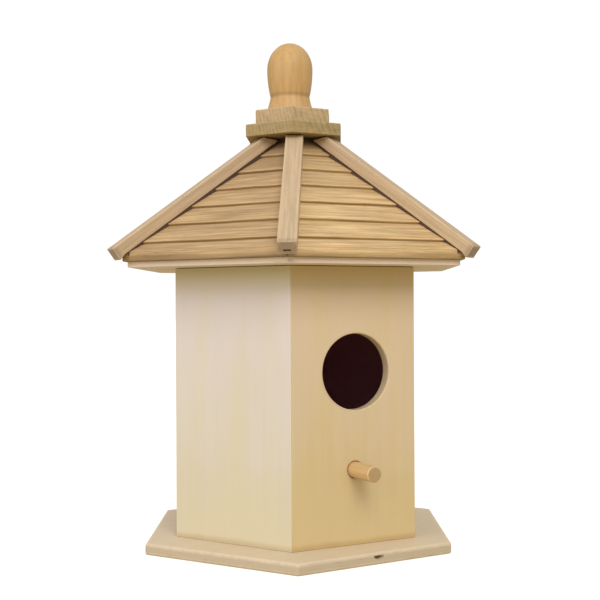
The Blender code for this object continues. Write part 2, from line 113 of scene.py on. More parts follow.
class BirdhouseSizes(bpy.types.PropertyGroup):
    """Sizes that the frame's boxes don't give."""

    hole: metres("Entrance hole", "Diameter of the entrance hole", 0.0381)
    hole_x: metres(
        "Entrance hole offset", "How far the entrance hole is to the right of the wall's middle", 0.0010
    )
    hole_z: metres(
        "Entrance hole height", "Height of the middle of the entrance hole above the ground", 0.0917
    )
    clean_out: metres("Clean-out hole", "Diameter of the clean-out hole in the back wall", 0.0380)
    clean_out_z: metres(
        "Clean-out height", "Height of the middle of the clean-out hole above the ground", 0.0460
    )
    base_turn: degrees("Base turn", "How far the base board is turned against the walls", 2.3)
    roof_slope: degrees(
        "Roof slope", "Slope of a roof face through the edges of its courses", 39.58
    )
    nose_height: metres("Nose height", "Height of the flat lower edge of a roof face", 0.0045)
    roof_board: metres("Roof board", "Thickness of a roof face, square to its slope", 0.0060)
    first_course: metres(
        "First course", "Level run from the nose of a roof face to its first course line", 0.0063
    )
    course_run: metres("Course run", "Level run of each of the other courses", 0.0115)
    course_step: metres("Course step", "Height of the butt of each course", 0.0011)
    batten_width: metres("Batten width", "Width of a hip batten", 0.0093)
    batten_thickness: metres("Batten thickness", "Thickness of a hip batten", 0.0062)
    batten_reach: metres(
        "Batten reach", "From the axis to the lower corner of a batten's square end", 0.10255
    )
    batten_fall: bpy.props.FloatProperty(
        name="Batten fall",
        description="How far a batten falls for each metre outwards",
        default=0.728,
    )
    batten_peak: metres(
        "Batten peak", "Height on the axis of the line along a batten's underside", 0.2234
    )


class BirdhouseColours(bpy.types.PropertyGroup):
    """The middle colour of each finish."""

    base: colour("Base board", "Bare sanded plywood of the base", (0.62, 0.505, 0.345))
    side_wall: colour("Side walls", "Pale wood of the five plain walls", (0.635, 0.570, 0.425))
    front_wall: colour("Front wall", "Cream wood of the wall with the entrance", (0.615, 0.475, 0.262))
    # painted shade: this dark colour stands for the shade inside the box, seen through the holes
    inside: colour("Inside", "Dark inner faces of the walls", (0.52, 0.20, 0.25))
    eave: colour("Eave board", "Pale wood of the board under the roof", (0.74, 0.60, 0.44))
    roof: colour("Roof faces", "Planed softwood of every other roof face", (0.66, 0.45, 0.212))
    roof_second: colour("Roof faces, darker", "Softwood of the other roof faces", (0.52, 0.345, 0.165))
    batten: colour("Hip battens", "Planed softwood of the battens", (0.53, 0.385, 0.235))
    lower_cap: colour("Lower cap", "Rough-sawn wood of the lower cap", (0.385, 0.275, 0.115))
    upper_cap: colour("Upper cap", "Rough-sawn wood of the upper cap", (0.52, 0.37, 0.19))
    finial: colour("Finial", "Turned wood of the finial", (0.55, 0.335, 0.12))
    perch: colour("Perch", "Smooth dowel of the perch", (0.65, 0.44, 0.19))
    cover: colour("Clean-out cover", "Sanded wood of the cover", (0.60, 0.43, 0.25))
    screw: colour("Screws", "Zinc plate of the screws", (0.62, 0.60, 0.56))
    # painted shade: near-black colour of the beads under the battens and of the block under the caps
    glue: colour("Glue beads", "Dark glue and dust under the battens", (0.05, 0.026, 0.013))
    floor: colour("Floor", "Plain pale floor", (0.78, 0.78, 0.76))


# ---------------------------------------------------------------- shapes


def rounded_ring(centres, headings, half_span, rounding, side_points, corner_points):
    """Closed rings made of arcs and straight sides.

    Round each centre the arc is centre + rounding * (cos, sin) of the heading plus a swing from
    minus to plus half_span. Each side is the straight mix of an arc's last and the next one's
    first point. centres is rows by corners by 2, and rounding has one value for each row.
    """
    swing = np.linspace(-half_span, half_span, corner_points)
    angle = np.asarray(headings)[:, None] + swing
    spokes = np.stack([np.cos(angle), np.sin(angle)], axis=-1)
    arcs = centres[:, :, None, :] + np.asarray(rounding)[:, None, None, None] * spokes
    share = np.linspace(0.0, 1.0, side_points + 2)[1:-1, None]
    starts = arcs[:, :, -1:, :]
    stops = np.roll(arcs, -1, axis=1)[:, :, :1, :]
    rings = np.concatenate([arcs, starts * (1.0 - share) + stops * share], axis=2)
    return rings.reshape(len(rings), -1, 2)


def hexagon_rings(corner_radius, inset, rounding, turn=0.0, side_points=8, corner_points=4):
    """Rings of a hexagon with a corner on +X, each moved in by its inset, with round corners."""
    inset = np.asarray(inset, float)
    headings = turn + SIXTH * np.arange(6)
    apothem = corner_radius * math.cos(HALF_SIXTH) - inset
    radius = np.clip(rounding - inset, 0.0, np.maximum(apothem, 0.0) * 0.5)
    reach = (apothem - radius) / math.cos(HALF_SIXTH)
    spokes = np.stack([np.cos(headings), np.sin(headings)], axis=-1)
    centres = reach[:, None, None] * spokes
    return rounded_ring(centres, headings, HALF_SIXTH, radius, side_points, corner_points)


def rectangle_rings(half_width, half_height, rounding, side_points=6, corner_points=3):
    """Rings of a rectangle round the origin, with round corners. Each argument has a value a row."""
    half_width, half_height, rounding = np.broadcast_arrays(half_width, half_height, rounding)
    headings = math.radians(45.0) + math.radians(90.0) * np.arange(4)
    signs = np.sign(np.stack([np.cos(headings), np.sin(headings)], axis=-1))
    inner = np.stack([half_width - rounding, half_height - rounding], axis=-1)
    centres = inner[:, None, :] * signs
    quarter = math.radians(45.0)
    return rounded_ring(centres, headings, quarter, rounding, side_points, corner_points)


def circle_rings(radius, points):
    """Rings of circles: radius * (cos, sin) of the angle."""
    angle = np.linspace(0.0, 2.0 * math.pi, points, endpoint=False)
    return np.asarray(radius, float)[:, None, None] * np.stack([np.cos(angle), np.sin(angle)], axis=-1)


def edge_section(thickness, ease, side_rows=0, steps=4):
    """Section through the edge of a board with eased arrises, as inset, depth and marks.

    A quarter circle of radius ease rounds each arris: inset is ease * (1 - sin), depth is
    ease * (1 - cos) of its turn. A row stands off each arc on both sides, so that the shading of
    the flat faces stays flat.
    """
    turn = np.linspace(0.0, math.pi / 2.0, steps)
    arc_inset = ease * (1.0 - np.sin(turn))
    arc_depth = ease * (1.0 - np.cos(turn))
    stand_off = 2.0 * ease
    side = np.linspace(stand_off, thickness - stand_off, side_rows + 2)
    inset = np.concatenate([[stand_off], arc_inset, 0.0 * side, arc_inset[::-1], [stand_off]])
    depth = np.concatenate([[0.0], arc_depth, side, thickness - arc_depth[::-1], [thickness]])
    marks = np.zeros((len(inset), 3))
    marks[1 : steps + 1, 0] = 1.0
    marks[-steps - 1 : -1, 0] = 1.0
    return inset, depth, marks


def ripple(points, pitch, seed, waves=7):
    """Slow unevenness between about -1 and 1: a sum of sine waves in fixed random directions."""
    draw = np.random.default_rng(seed)
    headings = draw.normal(size=(waves, 3))
    headings /= np.linalg.norm(headings, axis=1)[:, None]
    phases = draw.uniform(0.0, 2.0 * math.pi, waves)
    scales = draw.uniform(0.7, 1.5, waves) * 2.0 * math.pi / pitch
    return np.sin(points @ (headings * scales[:, None]).T + phases).sum(axis=-1) / math.sqrt(waves)


def smooth_step(low, high, values):
    """0 below low, 1 above high, and 3t^2 - 2t^3 between."""
    share = np.clip((values - low) / (high - low), 0.0, 1.0)
    return share * share * (3.0 - 2.0 * share)


def turned_about_z(points, angle):
    """Points turned about the Z axis."""
    return np.asarray(points) @ np.array(Matrix.Rotation(angle, 3, "Z")).T


class Shape:
    """The patches of one piece, welded where they meet when the piece is made."""

    def __init__(self):
        self.points = []
        self.marks = []
        self.quads = []
        self.triangles = []
        self.count = 0

    def strip(self, rings, marks=PLAIN):
        """A grid of rings, closed round each ring. rings is rows by columns by 3."""
        rows, columns = rings.shape[:2]
        marks = np.asarray(marks, float)
        if marks.ndim == 2:
            marks = marks[:, None, :]
        row, column = np.meshgrid(np.arange(rows - 1), np.arange(columns), indexing="ij")
        following = (column + 1) % columns
        corners = (
            row * columns + column,
            row * columns + following,
            (row + 1) * columns + following,
            (row + 1) * columns + column,
        )
        self.quads.append(self.count + np.stack(corners, axis=-1).reshape(-1, 4))
        self.add(rings, np.broadcast_to(marks, rings.shape))

    def sheet(self, *loops, marks=PLAIN):
        """A flat face inside the first loop and outside the other ones."""
        moved = [np.linalg.norm(loop - np.roll(loop, 1, axis=0), axis=1) > WELD for loop in loops]
        loops = [loop[keep] for loop, keep in zip(loops, moved)]
        enlarged = [[Vector(point) for point in loop * FILL_SCALE] for loop in loops]
        corners = tessellate_polygon(enlarged)
        self.triangles.append(self.count + np.array(corners))
        points = np.concatenate(loops)
        self.add(points, np.broadcast_to(np.asarray(marks, float), points.shape))

    def closed_strip(self, rings, marks=PLAIN):
        """A strip with a flat sheet over each of its end rings."""
        self.strip(rings, marks)
        self.sheet(rings[0])
        self.sheet(rings[-1])

    def add(self, points, marks):
        """Keeps the points of one patch and their marks."""
        self.points.append(points.reshape(-1, 3))
        self.marks.append(marks.reshape(-1, 3))
        self.count += len(self.points[-1])

    def mesh(self, name):
        """One closed mesh of all the patches, with faces outwards, and its points and marks."""
        points = np.concatenate(self.points)
        keys = np.round(points / WELD).astype(np.int64)
        _, first, welded = np.unique(keys, axis=0, return_index=True, return_inverse=True)
        welded = welded.reshape(-1)
        points = points[first]
        marks = np.concatenate(self.marks)[first]
        quads = welded[np.concatenate(self.quads)]
        pinched = quads == np.roll(quads, -1, axis=1)
        pinches = pinched.sum(axis=1)
        fans = quads[pinches == 1][~pinched[pinches == 1]].reshape(-1, 3)
        faces = quads[pinches == 0].tolist() + fans.tolist()
        for triangles in self.triangles:
            faces += welded[triangles].tolist()
        mesh = bpy.data.meshes.new(name)
        mesh.from_pydata(points.tolist(), [], faces)
        shape = bmesh.new()
        shape.from_mesh(mesh)
        bmesh.ops.recalc_face_normals(shape, faces=shape.faces)
        loose = sum(not edge.is_manifold for edge in shape.edges)
        if loose:
            raise RuntimeError(f"{name} has {loose} open edges")
        if shape.calc_volume(signed=True) < 0.0:
            bmesh.ops.reverse_faces(shape, faces=shape.faces)
        shape.to_mesh(mesh)
        shape.free()
        return mesh, points, marks


def piece(name, shape, finish, nodes, grain, body="house", crease=36.0):
    """Makes a shape into a piece of the birdhouse, in the frame.

    grain is where a board was cut from its plank: its middle, the direction of its fibres, the
    direction across them, and how far along the plank it lay. Every point keeps its place in the
    plank in the attribute grain: along, across and through.
    """
    mesh, points, marks = shape.mesh(name)
    centre, along, across, start = grain
    along = np.array(along) / np.linalg.norm(along)
    across = np.array(across) / np.linalg.norm(across)
    axes = np.stack([along, across, np.cross(along, across)])
    places = (points - np.array(centre)) @ axes.T + np.array([start, 0.0, 0.0])
    for key, values in (("grain", places), ("marks", marks)):
        layer = mesh.attributes.new(key, "FLOAT_VECTOR", "POINT")
        layer.data.foreach_set("vector", np.ascontiguousarray(values, np.float32).ravel())
    mesh.shade_smooth()
    mesh.set_sharp_from_angle(angle=math.radians(crease))
    mesh.materials.append(finish)
    item = bpy.data.objects.new(name, mesh)
    bpy.context.scene.collection.objects.link(item)
    if nodes:
        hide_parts(*nodes)
    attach(item, body)
    return item


# ---------------------------------------------------------------- shader expressions


class Channel:
    """An output of a shader node. Sums and products of channels add Math nodes."""

    def __init__(self, finish, output):
        self.finish = finish
        self.output = output

    def __add__(self, other):
        return self.finish.math("ADD", self, other)

    def __radd__(self, other):
        return self.finish.math("ADD", other, self)

    def __sub__(self, other):
        return self.finish.math("SUBTRACT", self, other)

    def __rsub__(self, other):
        return self.finish.math("SUBTRACT", other, self)

    def __mul__(self, other):
        return self.finish.math("MULTIPLY", self, other)

    def __rmul__(self, other):
        return self.finish.math("MULTIPLY", other, self)

    def __truediv__(self, other):
        return self.finish.math("DIVIDE", self, other)

    def __pow__(self, other):
        return self.finish.math("POWER", self, other)


class Finish:
    """A material, or a world, that is being put together from nodes."""

    def __init__(self, name, world=None):
        self.material = world or bpy.data.materials.new(name)
        self.material.use_nodes = True
        self.tree = self.material.node_tree
        self.tree.nodes.clear()

    def node(self, kind, settings=None, sockets=None, output=0):
        """Adds a node: first its settings, then the values or links of its sockets."""
        item = self.tree.nodes.new(kind)
        for key, value in (settings or {}).items():
            if key == "stops":
                self.set_stops(item.color_ramp.elements, value)
            else:
                setattr(item, key, value)
        for key, value in (sockets or {}).items():
            if isinstance(value, Channel):
                self.tree.links.new(value.output, item.inputs[key])
            else:
                item.inputs[key].default_value = value
        return Channel(self, item.outputs[output]) if item.outputs else item

    def set_stops(self, elements, stops):
        """Gives a ramp its grey stops."""
        while len(elements) < len(stops):
            elements.new(1.0)
        for element, (position, shade) in zip(elements, stops):
            element.position = position
            element.color = (shade, shade, shade, 1.0)

    def math(self, operation, *values):
        """A Math node on values or channels."""
        return self.node("ShaderNodeMath", {"operation": operation}, dict(enumerate(values)))

    def vector(self, operation, *values, output=0):
        """A Vector Math node on vectors."""
        return self.node(
            "ShaderNodeVectorMath", {"operation": operation}, dict(enumerate(values)), output
        )

    def ramp(self, value, *stops):
        """A value passed through grey stops of (position, shade)."""
        return self.node("ShaderNodeValToRGB", {"stops": stops}, {"Fac": value})

    def mix(self, first, second, share, kind="MIX"):
        """A colour between two colours."""
        settings = {"data_type": "RGBA", "blend_type": kind, "clamp_result": True}
        return self.node("ShaderNodeMix", settings, {0: share, 6: first, 7: second}, 2)

    def noise(self, place, stretch, detail=3.0, roughness=0.55, distortion=0.0):
        """Noise on a place that is stretched first, so a large stretch gives a fine pattern."""
        stretched = self.vector("MULTIPLY", place, stretch)
        sockets = {"Vector": stretched, "Scale": 1.0, "Detail": detail}
        sockets.update({"Roughness": roughness, "Distortion": distortion})
        return self.node("ShaderNodeTexNoise", None, sockets)

    def attribute(self, name):
        """The vector that every point keeps under a name."""
        return self.node("ShaderNodeAttribute", {"attribute_name": name}, None, "Vector")

    def parts(self, vector):
        """The three numbers of a vector."""
        split = self.node("ShaderNodeSeparateXYZ", None, {0: vector})
        outputs = split.output.node.outputs
        return tuple(Channel(self, outputs[key]) for key in ("X", "Y", "Z"))

    def bump(self, height, distance, strength=1.0):
        """A normal that follows a height."""
        sockets = {"Height": height, "Distance": distance, "Strength": strength}
        return self.node("ShaderNodeBump", None, sockets)

    def surface(self, **sockets):
        """Ends the material in one shader."""
        named = {key.replace("_", " "): value for key, value in sockets.items()}
        shader = self.node("ShaderNodeBsdfPrincipled", None, named)
        self.node("ShaderNodeOutputMaterial", None, {"Surface": shader})
        return self.material


def toned(rgb, gain=1.0, shift=(1.0, 1.0, 1.0)):
    """A colour made lighter or darker, with each part shifted."""
    return tuple(min(1.0, part * gain * move) for part, move in zip(rgb, shift)) + (1.0,)


def made_once(make):
    """Makes the finish of a name the first time it is asked for, and finds it after that."""

    @functools.wraps(make)
    def found(name, *values, **settings):
        return bpy.data.materials.get(name) or make(name, *values, **settings)

    return found


# How each kind of wood looks. Lengths are in metres.
WOODS = {
    "wall": {
        "streak_size": (9.0, 260.0, 260.0),
        "ring_gap": 0.0060, "pith": (0.035, 0.120), "ring_depth": 0.05, "wander": 0.006,
        "streak": 0.08, "fibre": 0.06, "blotch": 0.12, "fleck": 0.10,
        "rough": 0.60, "relief": 0.00003,
    },
    "roof": {
        "streak_size": (26.0, 560.0, 560.0),
        "ring_gap": 0.0034, "pith": (0.190, 0.030), "ring_depth": 0.26, "wander": 0.0060,
        "streak": 0.95, "fibre": 0.30, "blotch": 0.46, "fleck": 0.40,
        "rough": 0.68, "relief": 0.00009,
    },
    "batten": {
        "streak_size": (22.0, 620.0, 620.0),
        "ring_gap": 0.0022, "pith": (0.060, 0.015), "ring_depth": 0.20, "wander": 0.0025,
        "streak": 0.40, "fibre": 0.18, "blotch": 0.30, "fleck": 0.26,
        "rough": 0.66, "relief": 0.00007,
    },
    "finial": {
        "streak_size": (20.0, 420.0, 420.0),
        "ring_gap": 0.0024, "pith": (0.030, 0.012), "ring_depth": 0.16, "wander": 0.0015,
        "streak": 0.30, "fibre": 0.14, "blotch": 0.26, "fleck": 0.16,
        "rough": 0.54, "relief": 0.00002,
    },
}


@made_once
def wood(name, rgb, kind, inside=None, sawn=False, layered=False, coat=0.0):
    """Procedural wood that follows the plank each board was cut from.

    Growth rings are circles round a pith line beside the board, so faces, edges and sawn ends all
    show the same plank. Fibres and flecks are noise drawn out along the plank.
    """
    look = WOODS[kind]
    finish = Finish(name)
    place = finish.attribute("grain")
    # foot is the painted-shade mark: it darkens grooves, dents, creases and inner faces
    wear, foot, sawn_end = finish.parts(finish.attribute("marks"))
    along, across, through = finish.parts(place)

    slow = finish.noise(place, (9.0, 26.0, 26.0), 2.0)
    wander = (slow - 0.5) * look["wander"]
    pith_across, pith_through = look["pith"]
    sideways = across + pith_across + wander
    down = through + pith_through
    radius = finish.math("SQRT", sideways * sideways + down * down)
    turns = radius / look["ring_gap"] + finish.noise(place, (4.0, 60.0, 60.0), 1.0) * 1.3
    growth = finish.math("FRACT", turns)
    late = finish.ramp(growth, (0.0, 0.0), (0.45, 0.12), (0.86, 1.0), (1.0, 0.0))
    uneven = finish.noise(place, (14.0, 240.0, 240.0), 2.0)
    rings = late * (0.35 + uneven)

    streaks = finish.noise(place, look["streak_size"], 4.0, 0.6)
    fibres = finish.noise(place, (60.0, 1900.0, 1900.0), 2.0, 0.6)
    blotches = finish.noise(place, (13.0, 30.0, 30.0), 3.0, 0.5, 0.6)
    flecks = finish.ramp(finish.noise(place, (170.0, 2600.0, 2600.0), 1.0), (0.66, 0.0), (0.76, 1.0))

    pale = toned(rgb, 1.10, (1.0, 1.01, 1.03))
    dark = toned(rgb, 0.55, (1.04, 0.96, 0.86))
    pink = toned(rgb, 1.0, (1.04, 0.97, 1.02))
    honey = toned(rgb, 0.97, (1.01, 0.98, 0.84))
    body = finish.mix(pink, honey, finish.ramp(blotches, (0.36, 0.0), (0.64, 1.0)))
    shade = finish.mix(toned(rgb, 1.0 - look["blotch"]), pale, blotches)
    body = finish.mix(body, shade, 0.5)
    body = finish.mix(body, dark, rings * look["ring_depth"])
    body = finish.mix(body, dark, finish.ramp(streaks, (0.46, 0.0), (0.68, 1.0)) * look["streak"])
    body = finish.mix(body, pale, finish.ramp(streaks, (0.34, 1.0), (0.48, 0.0)) * look["streak"])
    body = finish.mix(body, dark, finish.ramp(fibres, (0.45, 0.0), (0.75, 1.0)) * look["fibre"])
    body = finish.mix(body, toned(rgb, 0.42, (1.0, 0.88, 0.72)), flecks * look["fleck"])

    ends = finish.noise(place, (900.0, 900.0, 900.0), 3.0, 0.7)
    body = finish.mix(body, toned(rgb, 0.54, (1.02, 0.98, 1.06)), sawn_end * (0.50 + 0.5 * ends))
    if layered:
        body = plywood_edge(finish, body, rgb, through, along, across, sawn_end)
    if kind == "roof":
        # painted shade: the upper roof courses are darkened under the caps
        body = painted_top_shade(finish, body, rgb, across, blotches)
    if inside:
        body = wall_bands(finish, body, rgb)
        # painted shade: inner faces and the inner rims of the holes take the dark inside colour
        body = finish.mix(body, toned(inside), foot)
    else:
        # painted shade: the foot mark darkens course grooves and butts, the ply void, the batten dent
        # and the finial's neck
        body = finish.mix(body, toned(rgb, 0.34, (1.0, 0.86, 0.45)), foot * (0.6 + 0.4 * streaks))
    patchy = finish.noise(place, (110.0, 420.0, 420.0), 2.0)
    rubbed = wear * finish.ramp(patchy, (0.25, 0.2), (0.60, 1.0))
    body = finish.mix(body, toned(rgb, 1.16, (1.02, 1.0, 0.92)), rubbed * 0.45)

    rough = look["rough"] + (fibres - 0.5) * 0.16 + flecks * 0.10 - rubbed * 0.08
    height = fibres * 0.4 + streaks * 0.5 - rings * 0.25 - flecks * 0.6 + sawn_end * ends
    relief = look["relief"]
    if sawn:
        marks = saw_marks(finish, place)
        body = finish.mix(body, dark, marks * 0.42)
        body = finish.mix(body, toned(rgb, 1.12, (0.98, 1.02, 0.98)), (1.0 - marks) * 0.20)
        height = height - marks * 2.2
        rough = rough + marks * 0.08
    return finish.surface(
        Base_Color=body,
        Roughness=rough,
        Coat_Weight=coat,
        Normal=finish.bump(height, relief * 3.0, 0.6),
    )


def painted_top_shade(finish, body, rgb, across, blotches):
    """Painted shade under the caps: the upper courses are made greyer and darker, in uneven patches."""
    climb = across * 10.0 + 0.5 + (blotches - 0.5) * 1.3
    patches = finish.ramp(climb, (0.45, 0.0), (1.0, 1.0))
    return finish.mix(body, toned(rgb, 0.56, (1.0, 0.97, 1.0)), patches * 0.75)


def wall_bands(finish, body, rgb):
    """How a wall changes with height: grey above, yellow below, a painted yellow-green eave shadow at
    the very top, and darker and more orange just above the base joint.
    """
    wall_top = 0.1442
    place = finish.node("ShaderNodeTexCoord", None, None, "Object")
    _, _, height = finish.parts(place)
    share = height / wall_top
    cloud = finish.noise(place, (26.0, 26.0, 15.0), 2.0)
    body = finish.mix(
        body,
        toned(rgb, 1.0, (1.03, 1.02, 1.26)),
        finish.ramp(share + (cloud - 0.5) * 1.1, (0.25, 0.0), (0.80, 1.0)) * 0.8,
    )
    body = finish.mix(
        body,
        toned(rgb, 0.98, (1.02, 0.99, 0.86)),
        finish.ramp(share + (cloud - 0.5) * 0.9, (0.05, 1.0), (0.42, 0.0)) * 0.8,
    )
    streaks = finish.noise(finish.attribute("grain"), (12.0, 75.0, 75.0), 3.0)
    yellow = finish.ramp(streaks, (0.50, 0.0), (0.70, 1.0)) * 0.45
    body = finish.mix(body, toned(rgb, 0.98, (1.02, 1.0, 0.84)), yellow)
    # painted shadow: the top of the wall, under the eave, is darkened yellow-green
    painted_eave_shadow = toned(rgb, 0.86, (1.0, 0.95, 0.55))
    body = finish.mix(body, painted_eave_shadow, finish.ramp(share, (0.90, 0.0), (0.99, 1.0)) * 0.70)
    joint = finish.ramp(share + (cloud - 0.5) * 0.02, (0.046, 1.0), (0.062, 0.0))
    return finish.mix(body, toned(rgb, 0.72, (1.04, 0.86, 0.54)), joint * 0.6)


def saw_marks(finish, place):
    """Slanting scores of a coarse saw: a wave across a tilted place, broken up by noise."""
    tilted = finish.node(
        "ShaderNodeMapping", None, {"Vector": place, "Rotation": (0.0, 0.5, math.radians(62.0))}
    )
    sockets = {"Vector": tilted, "Scale": 150.0, "Distortion": 3.2, "Detail": 2.0}
    scores = finish.node("ShaderNodeTexWave", {"wave_profile": "SAW"}, sockets, "Fac")
    broken = finish.noise(place, (90.0, 220.0, 220.0), 2.0)
    return finish.ramp(scores, (0.45, 0.0), (0.85, 1.0)) * finish.ramp(broken, (0.35, 0.0), (0.60, 1.0))


def plywood_edge(finish, body, rgb, through, along, across, edge):
    """Three plies on the edge of the base board: two glue lines, and painted shade for a few short open
    voids along them.
    """
    pitch, half_board = 0.0019, 0.00285
    level = (through + half_board) / pitch
    ply = finish.math("FRACT", level)
    line = finish.ramp(finish.math("ABSOLUTE", ply - 0.5), (0.43, 0.0), (0.49, 1.0))
    core = finish.math("LESS_THAN", finish.math("ABSOLUTE", level - 1.5), 0.5)
    body = finish.mix(body, toned(rgb, 0.86, (1.0, 0.95, 0.90)), edge * core * 0.7)
    round_the_board = finish.node("ShaderNodeCombineXYZ", None, {0: along, 1: across, 2: level * 0.004})
    openings = finish.noise(round_the_board, (110.0, 110.0, 200.0), 1.0)
    void_shade = finish.ramp(openings, (0.62, 0.0), (0.66, 1.0))
    body = finish.mix(body, toned(rgb, 0.55, (1.0, 0.86, 0.70)), edge * line * 0.55)
    # painted shade in the short open voids of the glue lines
    return finish.mix(body, toned(rgb, 0.22, (1.0, 0.8, 0.6)), edge * line * void_shade)


@made_once
def zinc(name, rgb):
    """Dull zinc plate with a mottled gloss and fine wiping marks."""
    finish = Finish(name)
    place = finish.attribute("grain")
    mottle = finish.noise(place, (420.0, 420.0, 420.0), 3.0)
    wipes = finish.noise(place, (300.0, 4200.0, 4200.0), 2.0)
    tint = finish.mix(toned(rgb, 0.82), toned(rgb, 1.12, (1.0, 1.0, 0.96)), mottle)
    tint = finish.mix(tint, toned(rgb, 0.55), wipes * 0.25)
    return finish.surface(
        Base_Color=tint,
        Metallic=1.0,
        Roughness=0.30 + mottle * 0.22,
        Normal=finish.bump(wipes + mottle, 0.00003),
    )


@made_once
def glue(name, rgb):
    """Painted shade: a dark, uneven filler with lighter specks like sawdust, put where only shade
    falls, under the battens and the caps.
    """
    finish = Finish(name)
    place = finish.attribute("grain")
    dust = finish.noise(place, (500.0, 700.0, 700.0), 3.0)
    tint = finish.mix(toned(rgb, 0.7), toned(rgb, 1.9, (1.0, 0.9, 0.8)), dust)
    return finish.surface(
        Base_Color=tint, Roughness=0.55 + dust * 0.3, Normal=finish.bump(dust, 0.0002)
    )


# ---------------------------------------------------------------- pieces


def sizes():
    """The sizes kept in the scene."""
    return bpy.context.scene.birdhouse_sizes


def colours():
    """The colours kept in the scene."""
    return bpy.context.scene.birdhouse_colours


def lifted(rings, heights):
    """Rings in the ground plane, each lifted to its height."""
    level = np.broadcast_to(np.asarray(heights)[:, None, None], rings.shape[:2] + (1,))
    return np.concatenate([rings, level], axis=-1)


def upright(flat, level, x=0.0, z=0.0):
    """Flat rings stood up facing Y, each at its own level on Y, and moved by x and z."""
    level = np.broadcast_to(np.asarray(level)[:, None], flat.shape[:2])
    return np.stack([flat[:, :, 0] + x, level, flat[:, :, 1] + z], axis=-1)


def screw_spots():
    """Where the three base screws stand, from their CAD boxes."""
    return {key: middle("base_screw_" + key)[0] for key in ("front_right", "back", "front_left")}


class BIRDHOUSE_OT_base_board(bpy.types.Operator):
    """Makes the hexagonal plywood base with eased arrises, screw seats and an open ply gap"""

    bl_idname = "birdhouse.base_board"
    bl_label = "Base board"

    def execute(self, context):
        low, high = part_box("base_board")
        thickness = high.z - low.z
        turn = sizes().base_turn
        centre, half = middle("base_board")
        radius = half[0] / math.cos(turn)
        inset, depth, marks = edge_section(thickness, 0.0011, side_rows=9, steps=5)
        depth = thickness - depth
        marks[3:-3, 2] = 0.55
        rings = hexagon_rings(radius, inset, 0.0014, turn, side_points=90, corner_points=5)
        rings = lifted(rings, depth)
        outward = rings[:, :, :2] / np.linalg.norm(rings[:, :, :2], axis=-1, keepdims=True)
        run, rise = self.gap_place(rings, turn)
        half_run, half_rise, gap_depth = 0.0023, 0.0010, 0.0026
        opening = smooth_step(0.0, 0.45, 1.0 - (run / half_run) ** 2 - (rise / half_rise) ** 2)
        rings[:, :, :2] -= outward * (gap_depth * opening)[:, :, None]
        marks = np.repeat(marks[:, None, :], rings.shape[1], axis=1)
        # painted shade: the ply void is darkened through the foot mark
        marks[:, :, 1] = opening
        shape = Shape()
        place = np.array([centre[0], centre[1], 0.0])
        rings = rings + place
        shape.strip(rings, marks)
        seats = []
        shank, head = 0.0017, 0.0032
        for spot in screw_spots().values():
            radii = [shank, shank, head, head]
            seat = lifted(circle_rings(radii, 24), [thickness, 0.0023, 0.0006, 0.0])
            seat = seat + np.array([spot[0], spot[1], 0.0])
            shape.strip(seat)
            seats.append(seat)
        shape.sheet(rings[0], *[seat[0] for seat in seats])
        shape.sheet(rings[-1], *[seat[-1] for seat in seats])
        finish = wood("base_plywood", colours().base, "wall", layered=True)
        grain = ((centre[0], centre[1], thickness / 2.0), (1.0, 0.35, 0.0), (-0.35, 1.0, 0.0), 0.4)
        piece("base_plate", shape, finish, ["base_board"], grain)
        return {"FINISHED"}

    def gap_place(self, rings, turn):
        """Run along the front edge and rise above mid-height, from the middle of the ply gap."""
        run = rings[:, :, 0] * math.cos(turn) + rings[:, :, 1] * math.sin(turn)
        away = -rings[:, :, 0] * math.sin(turn) + rings[:, :, 1] * math.cos(turn)
        run = np.where(away < 0.0, run - 0.0006, 1.0)
        return run, rings[:, :, 2] - 0.0036


def wall_shape(holes, face, thickness, low, high):
    """A wall that faces -Y, with mitred sides, eased arrises and round holes.

    Each ring is a rectangle whose half width is the face's half width, less the depth times the
    tangent of 30 degrees for the mitre, less the inset of the eased arris.
    """
    gap = 0.00002
    wide = face * math.tan(HALF_SIXTH) - gap
    inset, depth, marks = edge_section(thickness, 0.0003, side_rows=1)
    half_width = wide - depth * math.tan(HALF_SIXTH) - inset
    half_height = (high - low) / 2.0 - inset
    flat = rectangle_rings(half_width, half_height, 0.0, side_points=10, corner_points=1)
    rings = upright(flat, depth - face, z=(high + low) / 2.0)
    # painted shade: the inner half of the wall's edge takes the inside shade
    marks[:, 1] = np.where(depth > thickness / 2.0, 1.0, 0.0)
    shape = Shape()
    shape.strip(rings, marks)
    outer_loops, inner_loops = [rings[0]], [rings[-1]]
    for x, z, radius, ease, bore_darkening in holes:
        widen, bore, bore_marks = edge_section(thickness, ease, side_rows=1)
        bore_marks[:, 2] = 1.0
        bore_marks[0, 2] = 0.0
        # painted shade: each hole's inner rim takes the inside shade; the rest of the bore is darkened
        # by the hole's own share (only the perch hole has one)
        bore_marks[1:, 1] = np.where(bore > thickness * 0.9, 1.0, bore_darkening)[1:]
        rings = upright(circle_rings(radius + widen, 96), bore - face, x, z)
        shape.strip(rings, bore_marks)
        outer_loops.append(rings[0])
        inner_loops.append(rings[-1])
    shape.sheet(*outer_loops)
    shape.sheet(*inner_loops, marks=PAINTED_INSIDE_SHADE)
    return shape


